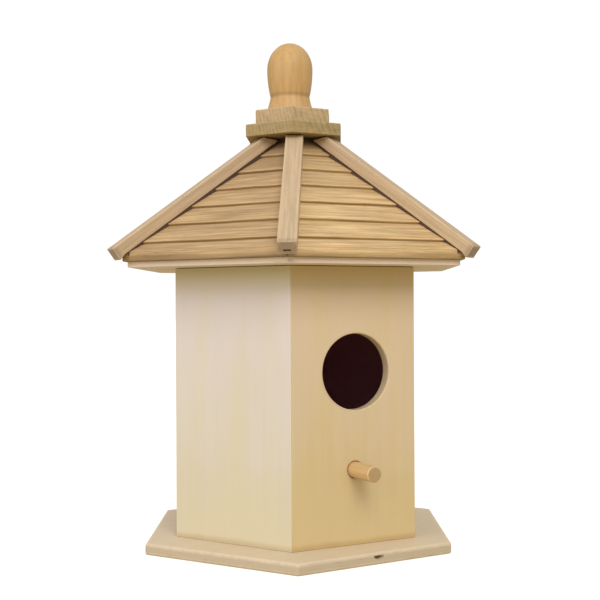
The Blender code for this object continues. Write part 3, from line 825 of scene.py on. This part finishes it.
class BIRDHOUSE_OT_walls(bpy.types.Operator):
    """Makes the six mitred walls, with the entrance, perch, clean-out and pivot holes"""

    bl_idname = "birdhouse.walls"
    bl_label = "Walls"

    def execute(self, context):
        low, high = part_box("front_wall")
        face = -low.y
        thickness = high.y - low.y
        size = sizes()
        perch = middle("perch")
        pivot = middle("pivot_screw")
        holes = {
            0: [
                (size.hole_x, size.hole_z, size.hole / 2.0, 0.0007, 0.0),
                (0.0, perch[0][2], perch[1][0] + 0.0002, 0.0005, 0.45),
            ],
            3: [
                (0.0, size.clean_out_z, size.clean_out / 2.0, 0.0006, 0.0),
                (0.0, pivot[0][2], PIVOT_HOLE / 2.0, 0.0002, 0.0),
            ],
        }
        for index, side in enumerate(SIDE_NAMES):
            foot = low.z - JOINT_CLOSED
            shape = wall_shape(holes.get(index, []), face, thickness, foot, high.z)
            angle = index * SIXTH
            shape.points = [turned_about_z(points, angle) for points in shape.points]
            name = "front_wall_cream" if index == 0 else "side_wall_ivory"
            rgb = colours().front_wall if index == 0 else colours().side_wall
            finish = wood(name, rgb, "wall", inside=colours().inside)
            centre = turned_about_z([0.0, -face, (low.z + high.z) / 2.0], angle)
            across = turned_about_z([1.0, 0.0, 0.0], angle)
            grain = (centre, (0.0, 0.0, 1.0), across, 1.0 + 0.83 * index)
            piece(side + "_wall_board", shape, finish, [side + "_wall"], grain)
        return {"FINISHED"}


def lathe(profile, centre, points=72, marks=PLAIN):
    """A shape turned about a vertical line. profile is (radius, height) rows."""
    profile = np.asarray(profile, float)
    rings = lifted(circle_rings(profile[:, 0], points), profile[:, 1])
    shape = Shape()
    shape.strip(rings + np.asarray(centre), marks)
    return shape


class BIRDHOUSE_OT_perch(bpy.types.Operator):
    """Makes the perch, a dowel with softly rounded ends that is uneven by a hair"""

    bl_idname = "birdhouse.perch"
    bl_label = "Perch"

    def execute(self, context):
        low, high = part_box("perch")
        centre, half = middle("perch")
        radius, length = half[0], high.y - low.y
        turn = np.linspace(0.0, math.pi / 2.0, 6)
        ease = 0.0007
        arc = np.stack([radius - ease + ease * np.sin(turn), ease * (1.0 - np.cos(turn))], axis=-1)
        rows = np.linspace(ease * 1.5, length - ease * 1.5, 12)
        body = np.stack([np.full(12, radius), rows], axis=-1)
        end = np.stack([arc[:, 0], length - arc[:, 1]], axis=-1)[::-1]
        centre_row = [[0.0, 0.0], [radius - ease * 1.6, 0.0]]
        far_row = [[radius - ease * 1.6, length], [0.0, length]]
        profile = np.concatenate([centre_row, arc, body, end, far_row])
        marks = np.zeros((len(profile), 3))
        marks[:4, 2] = 1.0
        marks[-4:, 2] = 1.0
        marks[[4, 5, 6, -7, -6, -5], 0] = 1.0
        rings = lifted(circle_rings(profile[:, 0], 64), profile[:, 1])
        unevenness = 1.0 - 0.012 * (0.5 + 0.5 * ripple(rings, 0.009, 5))
        rings[:, :, :2] *= unevenness[:, :, None]
        placed = np.stack(
            [rings[:, :, 0], high.y - rings[:, :, 2], rings[:, :, 1] + centre[2]], axis=-1
        )
        shape = Shape()
        shape.strip(placed, marks)
        finish = wood("perch_dowel", colours().perch, "finial")
        grain = (centre, (0.0, 1.0, 0.0), (1.0, 0.0, 0.0), 7.3)
        piece("perch_dowel", shape, finish, ["perch"], grain)
        return {"FINISHED"}


class BIRDHOUSE_OT_eave_board(bpy.types.Operator):
    """Makes the thin hexagonal board between the walls and the roof"""

    bl_idname = "birdhouse.eave_board"
    bl_label = "Eave board"

    def execute(self, context):
        low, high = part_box("eave_board")
        thickness = high.z - low.z
        inset, depth, marks = edge_section(thickness, 0.0003, side_rows=3)
        marks[4:-4, 2] = 0.35
        rings = hexagon_rings(high.x, inset, 0.0006, side_points=60, corner_points=4)
        rings = lifted(rings, high.z - depth)
        rings[:, :, :2] *= (1.0 - 0.0010 * (0.5 + 0.5 * ripple(rings, 0.03, 8)))[:, :, None]
        shape = Shape()
        shape.closed_strip(rings, marks)
        finish = wood("eave_board_ivory", colours().eave, "wall")
        grain = ((0.0, 0.0, high.z), (1.0, 0.2, 0.0), (-0.2, 1.0, 0.0), 8.1)
        piece("eave_plate", shape, finish, ["eave_board"], grain)
        return {"FINISHED"}


def course_section(length):
    """One course in section, as (run up the slope, sink below the line of the edges) and marks.

    A course runs from its eased butt edge on the line down to a small groove at the foot of the
    next butt: the sink grows evenly with the run to the height of a step.
    """
    step = sizes().course_step
    ease, groove = 0.00036, 0.00022
    run = np.array([0.0, 0.08, 0.35, 1.0]) * ease * 1.2
    lip = np.stack([run, ease * np.array([1.0, 0.55, 0.14, 0.0])], axis=-1)
    field_run = np.linspace(0.10, 0.82, 6) * length
    field = np.stack([field_run, step * field_run / length], axis=-1)
    foot_run = length - groove * np.array([7.0, 4.0, 1.6, 0.6, 0.0])
    foot = np.stack([foot_run, step + groove * np.array([-0.1, 0.0, 0.45, 0.9, 1.0])], axis=-1)
    course = np.concatenate([lip, field, foot])
    marks = np.zeros((len(course), 3))
    marks[:5, 0] = (0.5, 1.0, 1.0, 0.8, 0.0)
    # painted shade: the butt under the lip and the groove at the foot are darkened
    marks[0, 1] = 0.6
    marks[-5:, 1] = (0.0, 0.25, 0.50, 0.7, 0.8)
    return course, marks


def roof_rings(seed):
    """The sections of one roof face, from its left mitre to its right one.

    A point is (across * (reach * tan 30 - gap), -reach, height). The butt edges wander a little
    along the face: each course's run is shifted by a mix of its own wave and the next one's.
    """
    size = sizes()
    low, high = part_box("roof_panel_front")
    reach, slope, tall = -low.y, size.roof_slope, high.z
    foot = low.z - JOINT_CLOSED
    level = np.concatenate([[0.0], size.first_course + size.course_run * np.arange(COURSES)])
    starts = level / math.cos(slope)
    sections = [course_section(length) for length in np.diff(starts)]
    course = np.stack([section for section, _ in sections])
    share = (course[:, :, 0] / np.diff(starts)[:, None])[:, :, None]
    across = np.linspace(-1.0, 1.0, 61)
    line = np.stack([across * 0.05, 0.0 * across, 0.0 * across], axis=-1)
    waves = np.stack([ripple(line, 0.045, seed * 20 + k) for k in range(COURSES + 1)]) * 0.00010
    waves[0] = 0.0
    shift = waves[:-1, None, :] * (1.0 - share) + waves[1:, None, :] * share
    run = starts[:-1, None, None] + course[:, :, :1] + shift
    sag = np.abs(ripple(line, 0.022, seed * 20 + 11)) * 0.00004
    sink = course[:, :, 1:] + sag
    run = run.reshape(-1, len(across))
    sink = sink.reshape(-1, len(across))
    out = reach - run * math.cos(slope) - sink * math.sin(slope)
    height = low.z + size.nose_height + run * math.sin(slope) - sink * math.cos(slope)
    marks = np.concatenate([values for _, values in sections])
    marks[0, 1] = 0.0

    ceiling = low.z + size.nose_height + reach * math.tan(slope) - size.roof_board / math.cos(slope)
    last = out[-1]
    inner_out = np.stack([last, np.full_like(last, (ceiling - foot) / math.tan(slope))])
    inner_height = np.stack([ceiling - last * math.tan(slope), np.full_like(last, foot)])
    nose = np.array([0.0, 0.0004, 0.0023, 0.0026, size.nose_height - 0.0006])
    nose_out = np.full((len(nose), len(across)), reach)
    nose_out[0] -= 0.0003
    nose_height = np.broadcast_to((foot + nose)[:, None], nose_out.shape)
    out = np.concatenate([out, inner_out, nose_out])
    height = np.concatenate([height, inner_height, nose_height])
    under = np.zeros((2 + len(nose), 3))
    # painted shade: the lower band of the nose, just above the eave board, is darkened
    under[2:, 1] = (0.46, 0.44, 0.40, 0.0, 0.0)
    marks = np.concatenate([marks, under])
    wide = out * math.tan(HALF_SIXTH) - MITRE_GAP / math.cos(HALF_SIXTH)
    rings = np.stack([across[None, :] * wide, -out, np.minimum(height, tall)], axis=-1)
    return rings.transpose(1, 0, 2), np.broadcast_to(marks, (len(across),) + marks.shape)


class BIRDHOUSE_OT_roof(bpy.types.Operator):
    """Makes the six roof faces, each one board with seven courses cut across it"""

    bl_idname = "birdhouse.roof"
    bl_label = "Roof faces"

    def execute(self, context):
        finishes = (
            wood("roof_softwood", colours().roof, "roof"),
            wood("roof_softwood_darker", colours().roof_second, "roof"),
        )
        slope = sizes().roof_slope
        centre, _ = middle("roof_panel_front")
        for index, side in enumerate(SIDE_NAMES):
            rings, marks = roof_rings(index + 1)
            angle = index * SIXTH
            rings = turned_about_z(rings, angle)
            shape = Shape()
            shape.closed_strip(rings, marks)
            along = turned_about_z([1.0, 0.0, 0.0], angle)
            up = turned_about_z([0.0, math.cos(slope), math.sin(slope)], angle)
            grain = (turned_about_z(centre, angle), along, up, 11.0 + 0.71 * index)
            name = "roof_face_" + side
            node, finish = "roof_panel_" + side, finishes[index % 2]
            piece(name, shape, finish, [node], grain, crease=30.0)
        return {"FINISHED"}


def bar_rings(length, width, thickness, ease, rounding, stations):
    """A square bar along +X: rounded rectangles whose inset follows the eased ends."""
    inset, run, marks = edge_section(length, ease, side_rows=stations)
    half = (width / 2.0 - inset, thickness / 2.0 - inset)
    flat = rectangle_rings(*half, rounding - inset * 0.5, BAR_SIDE_POINTS, BAR_CORNER_POINTS)
    along = np.broadcast_to(run[:, None], flat.shape[:2])
    rings = np.stack([along, flat[:, :, 0], flat[:, :, 1] + thickness / 2.0], axis=-1)
    wear = np.zeros(rings.shape)
    column = np.arange(flat.shape[1]) % (BAR_SIDE_POINTS + BAR_CORNER_POINTS)
    wear[:, :, 0] = np.maximum(marks[:, None, 0], (column < BAR_CORNER_POINTS)[None, :])
    return rings, wear


def along_hip(rings, lower, fall):
    """Carries a bar onto the hip on -X: X runs up the hip, Y across it and Z square to it."""
    start = np.array([-lower[0], 0.0, lower[1]])
    pitch = math.atan(fall)
    up = np.array([math.cos(pitch), 0.0, math.sin(pitch)])
    square = np.array([-math.sin(pitch), 0.0, math.cos(pitch)])
    placed = start + rings[..., :1] * up + rings[..., 2:] * square
    placed[..., 1] = rings[..., 1]
    return placed


def ridge_height(placed, clearance):
    """Height of the ridge of two roof faces over the hip on -X, raised by a clearance."""
    size = sizes()
    low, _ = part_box("roof_panel_front")
    rise = math.tan(size.roof_slope)
    peak = low.z + size.nose_height - low.y * rise + clearance * math.hypot(1.0, rise)
    fall = rise * math.cos(HALF_SIXTH)
    return peak + placed[..., 0] * fall - np.abs(placed[..., 1]) * rise * math.sin(HALF_SIXTH)


class BIRDHOUSE_OT_battens(bpy.types.Operator):
    """Makes the six hip battens and, under them, dark beads of painted shade on the roof"""

    bl_idname = "birdhouse.battens"
    bl_label = "Hip battens"

    def execute(self, context):
        size = sizes()
        fall = size.batten_fall
        pitch = math.atan(fall)
        lower = (size.batten_reach, size.batten_peak - fall * size.batten_reach)
        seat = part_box("hip_batten_right")[1].z
        length = (seat - lower[1] - size.batten_thickness * math.cos(pitch)) / math.sin(pitch)
        finish = wood("batten_softwood", colours().batten, "batten")
        bead_finish = glue("batten_glue", colours().glue)
        for index, corner in enumerate(CORNER_NAMES):
            turn = math.radians(FIRST_CORNER_DEG) + index * SIXTH + math.pi
            placed, marks = self.bar(index, lower, length)
            if corner == "front_left":
                pocket = self.pocket(lower, fall)
                # painted shade: the dent and its bottom sheet are darkened, on top of the sawn end
                # grain
                dark = np.zeros(pocket.shape) + (0.0, 0.7, 1.0)
                dark[-1, :, 1] = 0.0
                placed = np.concatenate([pocket, placed])
                marks = np.concatenate([dark, marks])
            placed = turned_about_z(placed, turn)
            shape = Shape()
            shape.strip(placed, marks)
            shape.sheet(placed[0], marks=marks[0, 0] * (0.0, 1.0, 1.0))
            shape.sheet(placed[-1], marks=SAWN_END)
            up = turned_about_z([math.cos(pitch), 0.0, math.sin(pitch)], turn)
            across = turned_about_z([0.0, 1.0, 0.0], turn)
            grain = (placed.mean(axis=(0, 1)), up, across, 17.0 + 0.47 * index)
            name = "hip_strip_" + corner
            piece(name, shape, finish, ["hip_batten_" + corner], grain)
            self.bead(corner, turn, lower, length, fall, bead_finish)
        return {"FINISHED"}

    def bar(self, index, lower, length):
        """A batten over the hip on -X, and its marks.

        Its heel hangs down over the nose of the roof, its bed follows the ridge behind that, and
        its upper end is cut towards the level: a point moves up the batten by its depth below the
        top face over the tangent of the pitch.
        """
        size = sizes()
        fall, thickness = size.batten_fall, size.batten_thickness
        heel_drop, heel_start, heel_end = 0.0009, 0.0024, 0.0032
        levelled = 0.72  # 1 would cut the upper end level
        rings, marks = bar_rings(length, size.batten_width, thickness, 0.0004, 0.0005, 40)
        share = rings[..., 0] / length
        under = rings[..., 2] < thickness * 0.3
        heel = heel_drop * (1.0 - smooth_step(heel_start, heel_end, rings[..., 0]))
        rings[..., 2] -= np.where(under, heel, 0.0)
        lean = 1.0 / math.tan(math.atan(fall))
        rings[..., 0] += share * (thickness - rings[..., 2]) * lean * levelled
        unevenness = ripple(rings * (1.0, 0.2, 0.2), 0.03, 40 + index)
        rings[..., 1] *= 1.0 - 0.010 * (1.0 + unevenness) / 2
        placed = along_hip(rings, lower, fall)
        nose_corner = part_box("roof_panel_front")[1].x * 2.0
        under &= placed[..., 0] > -nose_corner
        bedded = np.maximum(placed[..., 2], ridge_height(placed, 0.0003))
        placed[..., 2] = np.where(under, bedded, placed[..., 2])
        marks[:6, :, 2] = 1.0
        return placed, marks

    def pocket(self, lower, fall):
        """A small dent in the end of a batten: a flat oval that narrows as it goes in."""
        inward = np.array([0.0022, 0.0014, 0.0006, 0.0001, 0.0])
        shrink = np.array([0.00030, 0.00020, 0.00008, 0.0, 0.0])
        half = (0.0018 - shrink, 0.00056 - shrink)
        flat = rectangle_rings(*half, 0.00025, BAR_SIDE_POINTS, BAR_CORNER_POINTS)
        run = np.broadcast_to(inward[:, None], flat.shape[:2])
        rings = np.stack([run, flat[:, :, 0], flat[:, :, 1] + 0.0013], axis=-1)
        return along_hip(rings, lower, fall)

    def bead(self, corner, turn, lower, length, fall, finish):
        """The bead fills the wedge between a batten and the two roof faces under it, as a dark sheet of
        painted shade.
        """
        depth = 0.0030
        rings, marks = bar_rings(length - 0.0060, 0.0080, depth, 0.0002, 0.0003, 60)
        top = rings[..., 2] > depth / 2.0
        rings[..., 0] += 0.0048
        rings[..., 1] *= 1.0 + 0.03 * ripple(rings * (1.0, 0.3, 0.3), 0.012, 70)
        placed = along_hip(rings - (0.0, 0.0, depth + 0.00005), lower, fall)
        ridge = ridge_height(placed, 0.0)
        placed[..., 2] = np.where(top, np.maximum(placed[..., 2], ridge + 0.0001), ridge - 0.0016)
        placed = turned_about_z(placed, turn)
        shape = Shape()
        shape.closed_strip(placed, marks)
        across = (math.sin(turn), -math.cos(turn), 0.0)
        grain = (placed.mean(axis=(0, 1)), (0.0, 0.0, 1.0), across, 3.0)
        piece("glue_bead_" + corner, shape, finish, [], grain)


def cap_shape(node, seed, hole_radius, hole_centre, through):
    """A rough hexagonal plate: its edge is worn in by small ripples and its arrises are broken."""
    low, high = (np.array(corner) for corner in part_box(node))
    centre = (low + high) / 2.0
    radius, thickness = (high[0] - low[0]) / 2.0, high[2] - low[2]
    inset, depth, marks = edge_section(thickness, 0.0004, side_rows=9, steps=4)
    marks[4:-4, 2] = 0.25
    rings = hexagon_rings(radius, inset, 0.0007, side_points=40, corner_points=5)
    rings = lifted(rings, high[2] - depth)
    rings[:, :, :2] += centre[:2]
    outward = rings[:, :, :2] - centre[:2]
    outward /= np.linalg.norm(outward, axis=-1, keepdims=True)
    slant = rings * (1.0, 1.0, 0.45)
    splinters = ripple(slant, 0.0030, seed) + 0.5 * ripple(slant, 0.0012, seed + 1)
    bite = 0.5 + 0.5 * np.clip(splinters, -1, 1)
    flat = smooth_step(0.0, 0.0009, inset)[:, None]
    rings[:, :, :2] -= outward * (0.00022 * bite * (1.0 - flat))[:, :, None]
    shape = Shape()
    shape.strip(rings, marks)
    top_loops, bottom_loops = [rings[0]], [rings[-1]]
    if through:
        bore = lifted(circle_rings([hole_radius, hole_radius], 48), [high[2], low[2]])
        bore[:, :, :2] += hole_centre[:2]
        shape.strip(bore)
        top_loops.append(bore[0])
        bottom_loops.append(bore[-1])
    shape.sheet(*top_loops)
    shape.sheet(*bottom_loops)
    return shape, centre


class BIRDHOUSE_OT_caps(bpy.types.Operator):
    """Makes the two rough-sawn hexagonal caps over the upper ends of the battens"""

    bl_idname = "birdhouse.caps"
    bl_label = "Caps"

    def execute(self, context):
        shades = {"lower": colours().lower_cap, "upper": colours().upper_cap}
        knob, _ = middle("finial")
        for number, (name, rgb) in enumerate(shades.items()):
            finish = wood(name + "_cap_rough_sawn", rgb, "batten", sawn=True)
            shape, centre = cap_shape(name + "_cap", 90 + number * 5, 0.00505, knob, name == "upper")
            grain = (centre, (1.0, 0.25, 0.0), (-0.25, 1.0, 0.0), 23.0 + number)
            piece(name + "_cap_plate", shape, finish, [name + "_cap"], grain)
        self.core()
        return {"FINISHED"}

    def core(self):
        """A dark hexagonal block of painted shade that closes the top of the roof between the battens.
        """
        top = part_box("lower_cap")[0].z - 0.0002
        inset, depth, marks = edge_section(0.0060, 0.0003, side_rows=2)
        rings = lifted(hexagon_rings(0.0125, inset, 0.0004), top - depth)
        shape = Shape()
        shape.closed_strip(rings, marks)
        grain = ((0.0, 0.0, top), (1.0, 0.0, 0.0), (0.0, 1.0, 0.0), 27.0)
        piece("crown_core", shape, glue("batten_glue", colours().glue), [], grain)


def oval(widest, curve, rise):
    """Radius of an upright oval at a rise from its widest: widest * root of 1 - (rise/curve)^2."""
    return widest * np.sqrt(np.clip(1.0 - (rise / curve) ** 2, 0.0, 1.0))


class BIRDHOUSE_OT_finial(bpy.types.Operator):
    """Turns the finial: an egg over a flared foot, with a tenon into the caps"""

    bl_idname = "birdhouse.finial"
    bl_label = "Finial"

    def execute(self, context):
        low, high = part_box("finial")
        centre, half = middle("finial")
        cap_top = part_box("upper_cap")[1].z
        egg, waist_curve, tenon = 0.01245, 0.0293, 0.00475
        bottom = cap_top + 0.0003
        widest, neck, top = bottom + 0.0234, bottom + 0.0084, high.z
        quarter = np.linspace(0.0, math.pi / 2.0, 25)
        rise = (top - widest) * np.cos(quarter)
        crown = np.stack([oval(egg, top - widest, rise), widest + rise], axis=-1)
        drop = np.linspace(0.0, widest - neck, 20)[1:]
        waist = np.stack([oval(egg, waist_curve, drop), widest - drop], axis=-1)
        flare_share = np.linspace(0.0, 0.93, 16)[1:]
        flare_radius = waist[-1, 0] + (half[0] - waist[-1, 0]) * flare_share**1.35
        flare = np.stack([flare_radius, neck - (neck - bottom) * flare_share], axis=-1)
        under = np.array(
            [
                [half[0] - 0.0001, bottom + 0.0002],
                [half[0] - 0.0004, bottom],
                [tenon, bottom],
                [tenon, low.z + 0.0008],
                [tenon - 0.0008, low.z],
                [0.0, low.z],
            ]
        )
        profile = np.concatenate([crown, waist, flare, under])
        # painted shade: wear here holds a darkening of the neck crease, given through the foot mark
        wear = smooth_step(0.0016, 0.0002, np.abs(profile[:, 1] - neck))
        marks = np.stack([wear * 0.0, 0.5 * wear, 0.0 * wear], axis=-1)
        place = np.array([centre[0], centre[1], 0.0])
        shape = lathe(profile, place, 96, marks)
        finish = wood("finial_turned", colours().finial, "finial", coat=0.03)
        grain = (centre, (0.0, 0.0, 1.0), (1.0, 0.4, 0.0), 29.0)
        piece("finial_knob", shape, finish, ["finial"], grain, crease=40.0)
        return {"FINISHED"}


def cover_rings(inset, ear, disc, drop):
    """Rings of the cover about its pivot: a small ear circle above a disc, with tangent sides.

    The tangents leave both circles at the lean whose sine is the difference of the radii over the
    drop between the centres, and an inset takes the same off both radii.
    """
    lean = math.asin((disc - ear) / drop)
    upper = np.linspace(lean, math.pi - lean, 28)
    lower = np.linspace(math.pi - lean, 2.0 * math.pi + lean, 72)
    angle = np.concatenate([upper, lower])
    radius = np.concatenate([np.full(28, ear), np.full(72, disc)])[None, :] - inset[:, None]
    fall = np.concatenate([np.zeros(28), np.full(72, drop)])
    return np.stack([radius * np.cos(angle), radius * np.sin(angle) - fall], axis=-1)


class BIRDHOUSE_OT_cover(bpy.types.Operator):
    """Makes the swinging cover of the clean-out hole"""

    bl_idname = "birdhouse.cover"
    bl_label = "Clean-out cover"

    def execute(self, context):
        low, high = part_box("clean_out_cover")
        pivot_z = middle("pivot_screw")[0][2]
        ear, disc = high.z - pivot_z, high.x
        thickness = high.y - low.y
        inset, depth, marks = edge_section(thickness, 0.0005, side_rows=2, steps=5)
        marks[5:-5, 2] = 0.5
        flat = cover_rings(inset, ear, disc, pivot_z - sizes().clean_out_z)
        rings = upright(flat, high.y - depth, z=pivot_z)
        widen, bore, _ = edge_section(thickness, 0.0002)
        hole = upright(circle_rings(PIVOT_HOLE / 2.0 + widen, 32), high.y - bore, z=pivot_z)
        shape = Shape()
        shape.strip(rings, marks)
        shape.strip(hole)
        shape.sheet(rings[0], hole[0])
        shape.sheet(rings[-1], hole[-1])
        finish = wood("cover_sanded", colours().cover, "wall")
        centre, _ = middle("clean_out_cover")
        grain = (centre, (0.0, 0.0, 1.0), (1.0, 0.0, 0.0), 31.0)
        piece("cover_flap", shape, finish, ["clean_out_cover"], grain, body="cover")
        return {"FINISHED"}


def slot_arm(across, along, half, reach):
    """1 inside one arm of a cross slot and 0 outside it, with soft walls."""
    beside = smooth_step(half, half + 0.00012, across)
    beyond = smooth_step(reach, reach + 0.0003, along)
    return (1.0 - beside) * (1.0 - beyond)


def screw_rings(head, head_height, shank, length, point, domed):
    """A screw that hangs down from its head at the origin, with a cross slot in the head.

    The head's surface is a grid of angle and radius. It sinks by the slot's depth where either
    arm of the cross covers it: near one axis and within the arm's reach along the other.
    """
    share = np.linspace(0.0, 1.0, 30)
    radius = head * share
    dome = head_height * (np.sqrt(np.clip(1.0 - share**2, 0.0, 1.0)) - 1.0) if domed else 0.0 * share
    top = lifted(circle_rings(radius, 96), dome)
    across, along = np.abs(top[:, :, 0]), np.abs(top[:, :, 1])
    half, reach = 0.00036, head * 0.62
    slot = np.maximum(
        slot_arm(across, along, half, reach), slot_arm(along, across, half, reach)
    )
    top[:, :, 2] -= 0.0009 * slot
    bottom = -head_height
    profile = [
        (head, bottom if domed else -0.0003),
        (shank, bottom - 0.00002),
        (shank, bottom - 0.0012),
        (shank, point - length + bottom * domed),
        (0.0, -length + bottom * domed),
    ]
    radii, heights = np.array(profile).T
    body = lifted(circle_rings(radii, 96), heights)
    return np.concatenate([top, body])


class BIRDHOUSE_OT_screws(bpy.types.Operator):
    """Makes the three countersunk base screws and the round-head pivot screw"""

    bl_idname = "birdhouse.screws"
    bl_label = "Screws"

    def execute(self, context):
        finish = zinc("screw_zinc", colours().screw)
        for number, (key, spot) in enumerate(screw_spots().items()):
            low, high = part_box("base_screw_" + key)
            rings = screw_rings(0.0029, 0.0017, 0.0014, high.z - low.z, 0.0025, False)
            placed = np.stack([rings[..., 0], -rings[..., 1], low.z - rings[..., 2]], axis=-1)
            placed[..., :2] += spot[:2]
            self.make("base_screw_" + key, "base_screw_head_" + key, placed, finish, 37.0 + number)
        low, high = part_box("pivot_screw")
        pivot_z = middle("pivot_screw")[0][2]
        rings = screw_rings(0.0037, 0.0022, 0.0017, 0.0116, 0.0022, True)
        placed = np.stack(
            [rings[..., 0], high.y + rings[..., 2], pivot_z - rings[..., 1]], axis=-1
        )
        self.make("pivot_screw", "pivot_round_head", placed, finish, 43.0)
        return {"FINISHED"}

    def make(self, node, name, rings, finish, start):
        """One screw from its rings."""
        shape = Shape()
        shape.strip(rings)
        centre = rings.mean(axis=(0, 1))
        grain = (centre, (0.0, 0.2, 1.0), (1.0, 0.0, 0.0), start)
        piece(name, shape, finish, [node], grain, crease=32.0)


# ---------------------------------------------------------------- stage


class BIRDHOUSE_OT_stage(bpy.types.Operator):
    """Lays the pale floor, sets the soft lights and places the camera"""

    bl_idname = "birdhouse.stage"
    bl_label = "Stage"

    def execute(self, context):
        self.floor()
        self.backdrop()
        self.sky(context.scene)
        self.light("key_softbox", (-0.35, -1.30, 1.12), 0.80, 13.8, (1.0, 0.99, 0.96))
        self.light("left_softbox", (-1.45, -0.30, 0.70), 0.90, 7.5, (0.98, 0.95, 1.0))
        self.camera(context.scene)
        context.scene.view_settings.view_transform = "Standard"
        return {"FINISHED"}

    def floor(self):
        """A large disc. Only the camera sees it, so that its glow doesn't light the house."""
        rim = lifted(circle_rings([FLOOR_RADIUS], 96), [FLOOR_LEVEL])[0]
        finish = Finish("floor_paper")
        place = finish.node("ShaderNodeTexCoord", None, None, "Object")
        tooth = finish.noise(place, (60.0, 60.0, 60.0), 3.0)
        rgb = colours().floor
        tint = finish.mix(toned(rgb, 0.99), toned(rgb, 1.01), tooth)
        paper = finish.surface(
            Base_Color=tint,
            Roughness=0.9,
            Emission_Color=(1.0, 1.0, 0.99, 1.0),
            Emission_Strength=0.52,
        )
        self.seen_only("floor", rim.tolist(), [list(range(len(rim)))], paper)

    def backdrop(self):
        """A white ball round everything, with rings of points at even angles."""
        steps = np.linspace(-math.pi / 2.0, math.pi / 2.0, 33)
        profile = BACKDROP_RADIUS * np.stack([np.cos(steps), np.sin(steps)], axis=-1)
        ball = lathe(profile, (0.0, 0.0, 0.0))
        mesh, points, _ = ball.mesh("backdrop_shape")
        faces = [list(face.vertices) for face in mesh.polygons]
        bpy.data.meshes.remove(mesh)
        white = Finish("backdrop_white").surface(
            Base_Color=(0.0, 0.0, 0.0, 1.0),
            Emission_Color=(1.0, 1.0, 1.0, 1.0),
            Emission_Strength=1.0,
        )
        self.seen_only("backdrop", points.tolist(), faces, white)

    def seen_only(self, name, points, faces, finish):
        """A stage object that the camera sees and that sends no light onto the house."""
        mesh = bpy.data.meshes.new(name)
        mesh.from_pydata(points, [], faces)
        mesh.materials.append(finish)
        item = bpy.data.objects.new(name, mesh)
        bpy.context.scene.collection.objects.link(item)
        for kind in ("diffuse", "glossy", "transmission", "volume_scatter", "shadow"):
            setattr(item, "visible_" + kind, False)

    def sky(self, scene):
        """Soft light from all round: cool and brighter above, warm and dim below."""
        world = bpy.data.worlds.new("studio")
        finish = Finish("studio", world)
        _, _, height = finish.parts(finish.node("ShaderNodeTexCoord", None, None, "Generated"))
        rise = finish.ramp(height * 0.5 + 0.5, (0.42, 0.0), (0.62, 1.0))
        tint = finish.mix((0.62, 0.54, 0.37, 1.0), (0.72, 0.74, 0.78, 1.0), rise)
        glow = finish.node("ShaderNodeBackground", None, {"Color": tint, "Strength": 1.0})
        finish.node("ShaderNodeOutputWorld", None, {"Surface": glow})
        scene.world = world

    def light(self, name, place, size, power, rgb):
        """A square softbox that faces the house."""
        data = bpy.data.lights.new(name, "AREA")
        data.size = size
        data.energy = power
        data.color = rgb
        item = bpy.data.objects.new(name, data)
        item.location = place
        aim = Vector(HOUSE_MIDDLE) - Vector(place)
        item.rotation_euler = aim.to_track_quat("-Z", "Y").to_euler()
        bpy.context.scene.collection.objects.link(item)

    def camera(self, scene):
        """A camera a little to the left of the house, nearly level with its middle."""
        data = bpy.data.cameras.new("camera")
        data.sensor_width = 36.0
        data.lens = 64.16
        data.shift_x = 0.005
        item = bpy.data.objects.new("camera", data)
        item.location = (-0.27165, -0.52005, 0.12542)
        level = Matrix.Rotation(math.radians(-27.58), 3, "Z")
        tilt = Matrix.Rotation(math.radians(90.23), 3, "X")
        roll = Matrix.Rotation(math.radians(-0.29), 3, "Z")
        item.rotation_euler = (level @ tilt @ roll).to_euler()
        scene.collection.objects.link(item)
        scene.camera = item


# ---------------------------------------------------------------- add-on


class BIRDHOUSE_PT_sidebar(bpy.types.Panel):
    """Lists the birdhouse's pieces, sizes and colours"""

    bl_idname = "BIRDHOUSE_PT_sidebar"
    bl_label = "Birdhouse"
    bl_space_type = "VIEW_3D"
    bl_region_type = "UI"
    bl_category = "Birdhouse"

    def draw(self, context):
        for operator in OPERATORS:
            self.layout.operator(operator.bl_idname)
        for settings in (context.scene.birdhouse_sizes, context.scene.birdhouse_colours):
            box = self.layout.box()
            for name in settings.__annotations__:
                box.prop(settings, name)


OPERATORS = (
    BIRDHOUSE_OT_base_board,
    BIRDHOUSE_OT_walls,
    BIRDHOUSE_OT_perch,
    BIRDHOUSE_OT_eave_board,
    BIRDHOUSE_OT_roof,
    BIRDHOUSE_OT_battens,
    BIRDHOUSE_OT_caps,
    BIRDHOUSE_OT_finial,
    BIRDHOUSE_OT_cover,
    BIRDHOUSE_OT_screws,
    BIRDHOUSE_OT_stage,
)
CLASSES = (BirdhouseSizes, BirdhouseColours) + OPERATORS + (BIRDHOUSE_PT_sidebar,)


def register():
    """Adds the settings, the operators and the panel."""
    for item in CLASSES:
        bpy.utils.register_class(item)
    bpy.types.Scene.birdhouse_sizes = bpy.props.PointerProperty(type=BirdhouseSizes)
    bpy.types.Scene.birdhouse_colours = bpy.props.PointerProperty(type=BirdhouseColours)


def unregister():
    """Takes them away again, in the opposite order."""
    del bpy.types.Scene.birdhouse_colours
    del bpy.types.Scene.birdhouse_sizes
    for item in reversed(CLASSES):
        bpy.utils.unregister_class(item)


def main():
    """Builds every piece and the stage."""
    register()
    for operator in OPERATORS:
        group, name = operator.bl_idname.split(".")
        getattr(getattr(bpy.ops, group), name)()


if __name__ == "__main__":
    main()
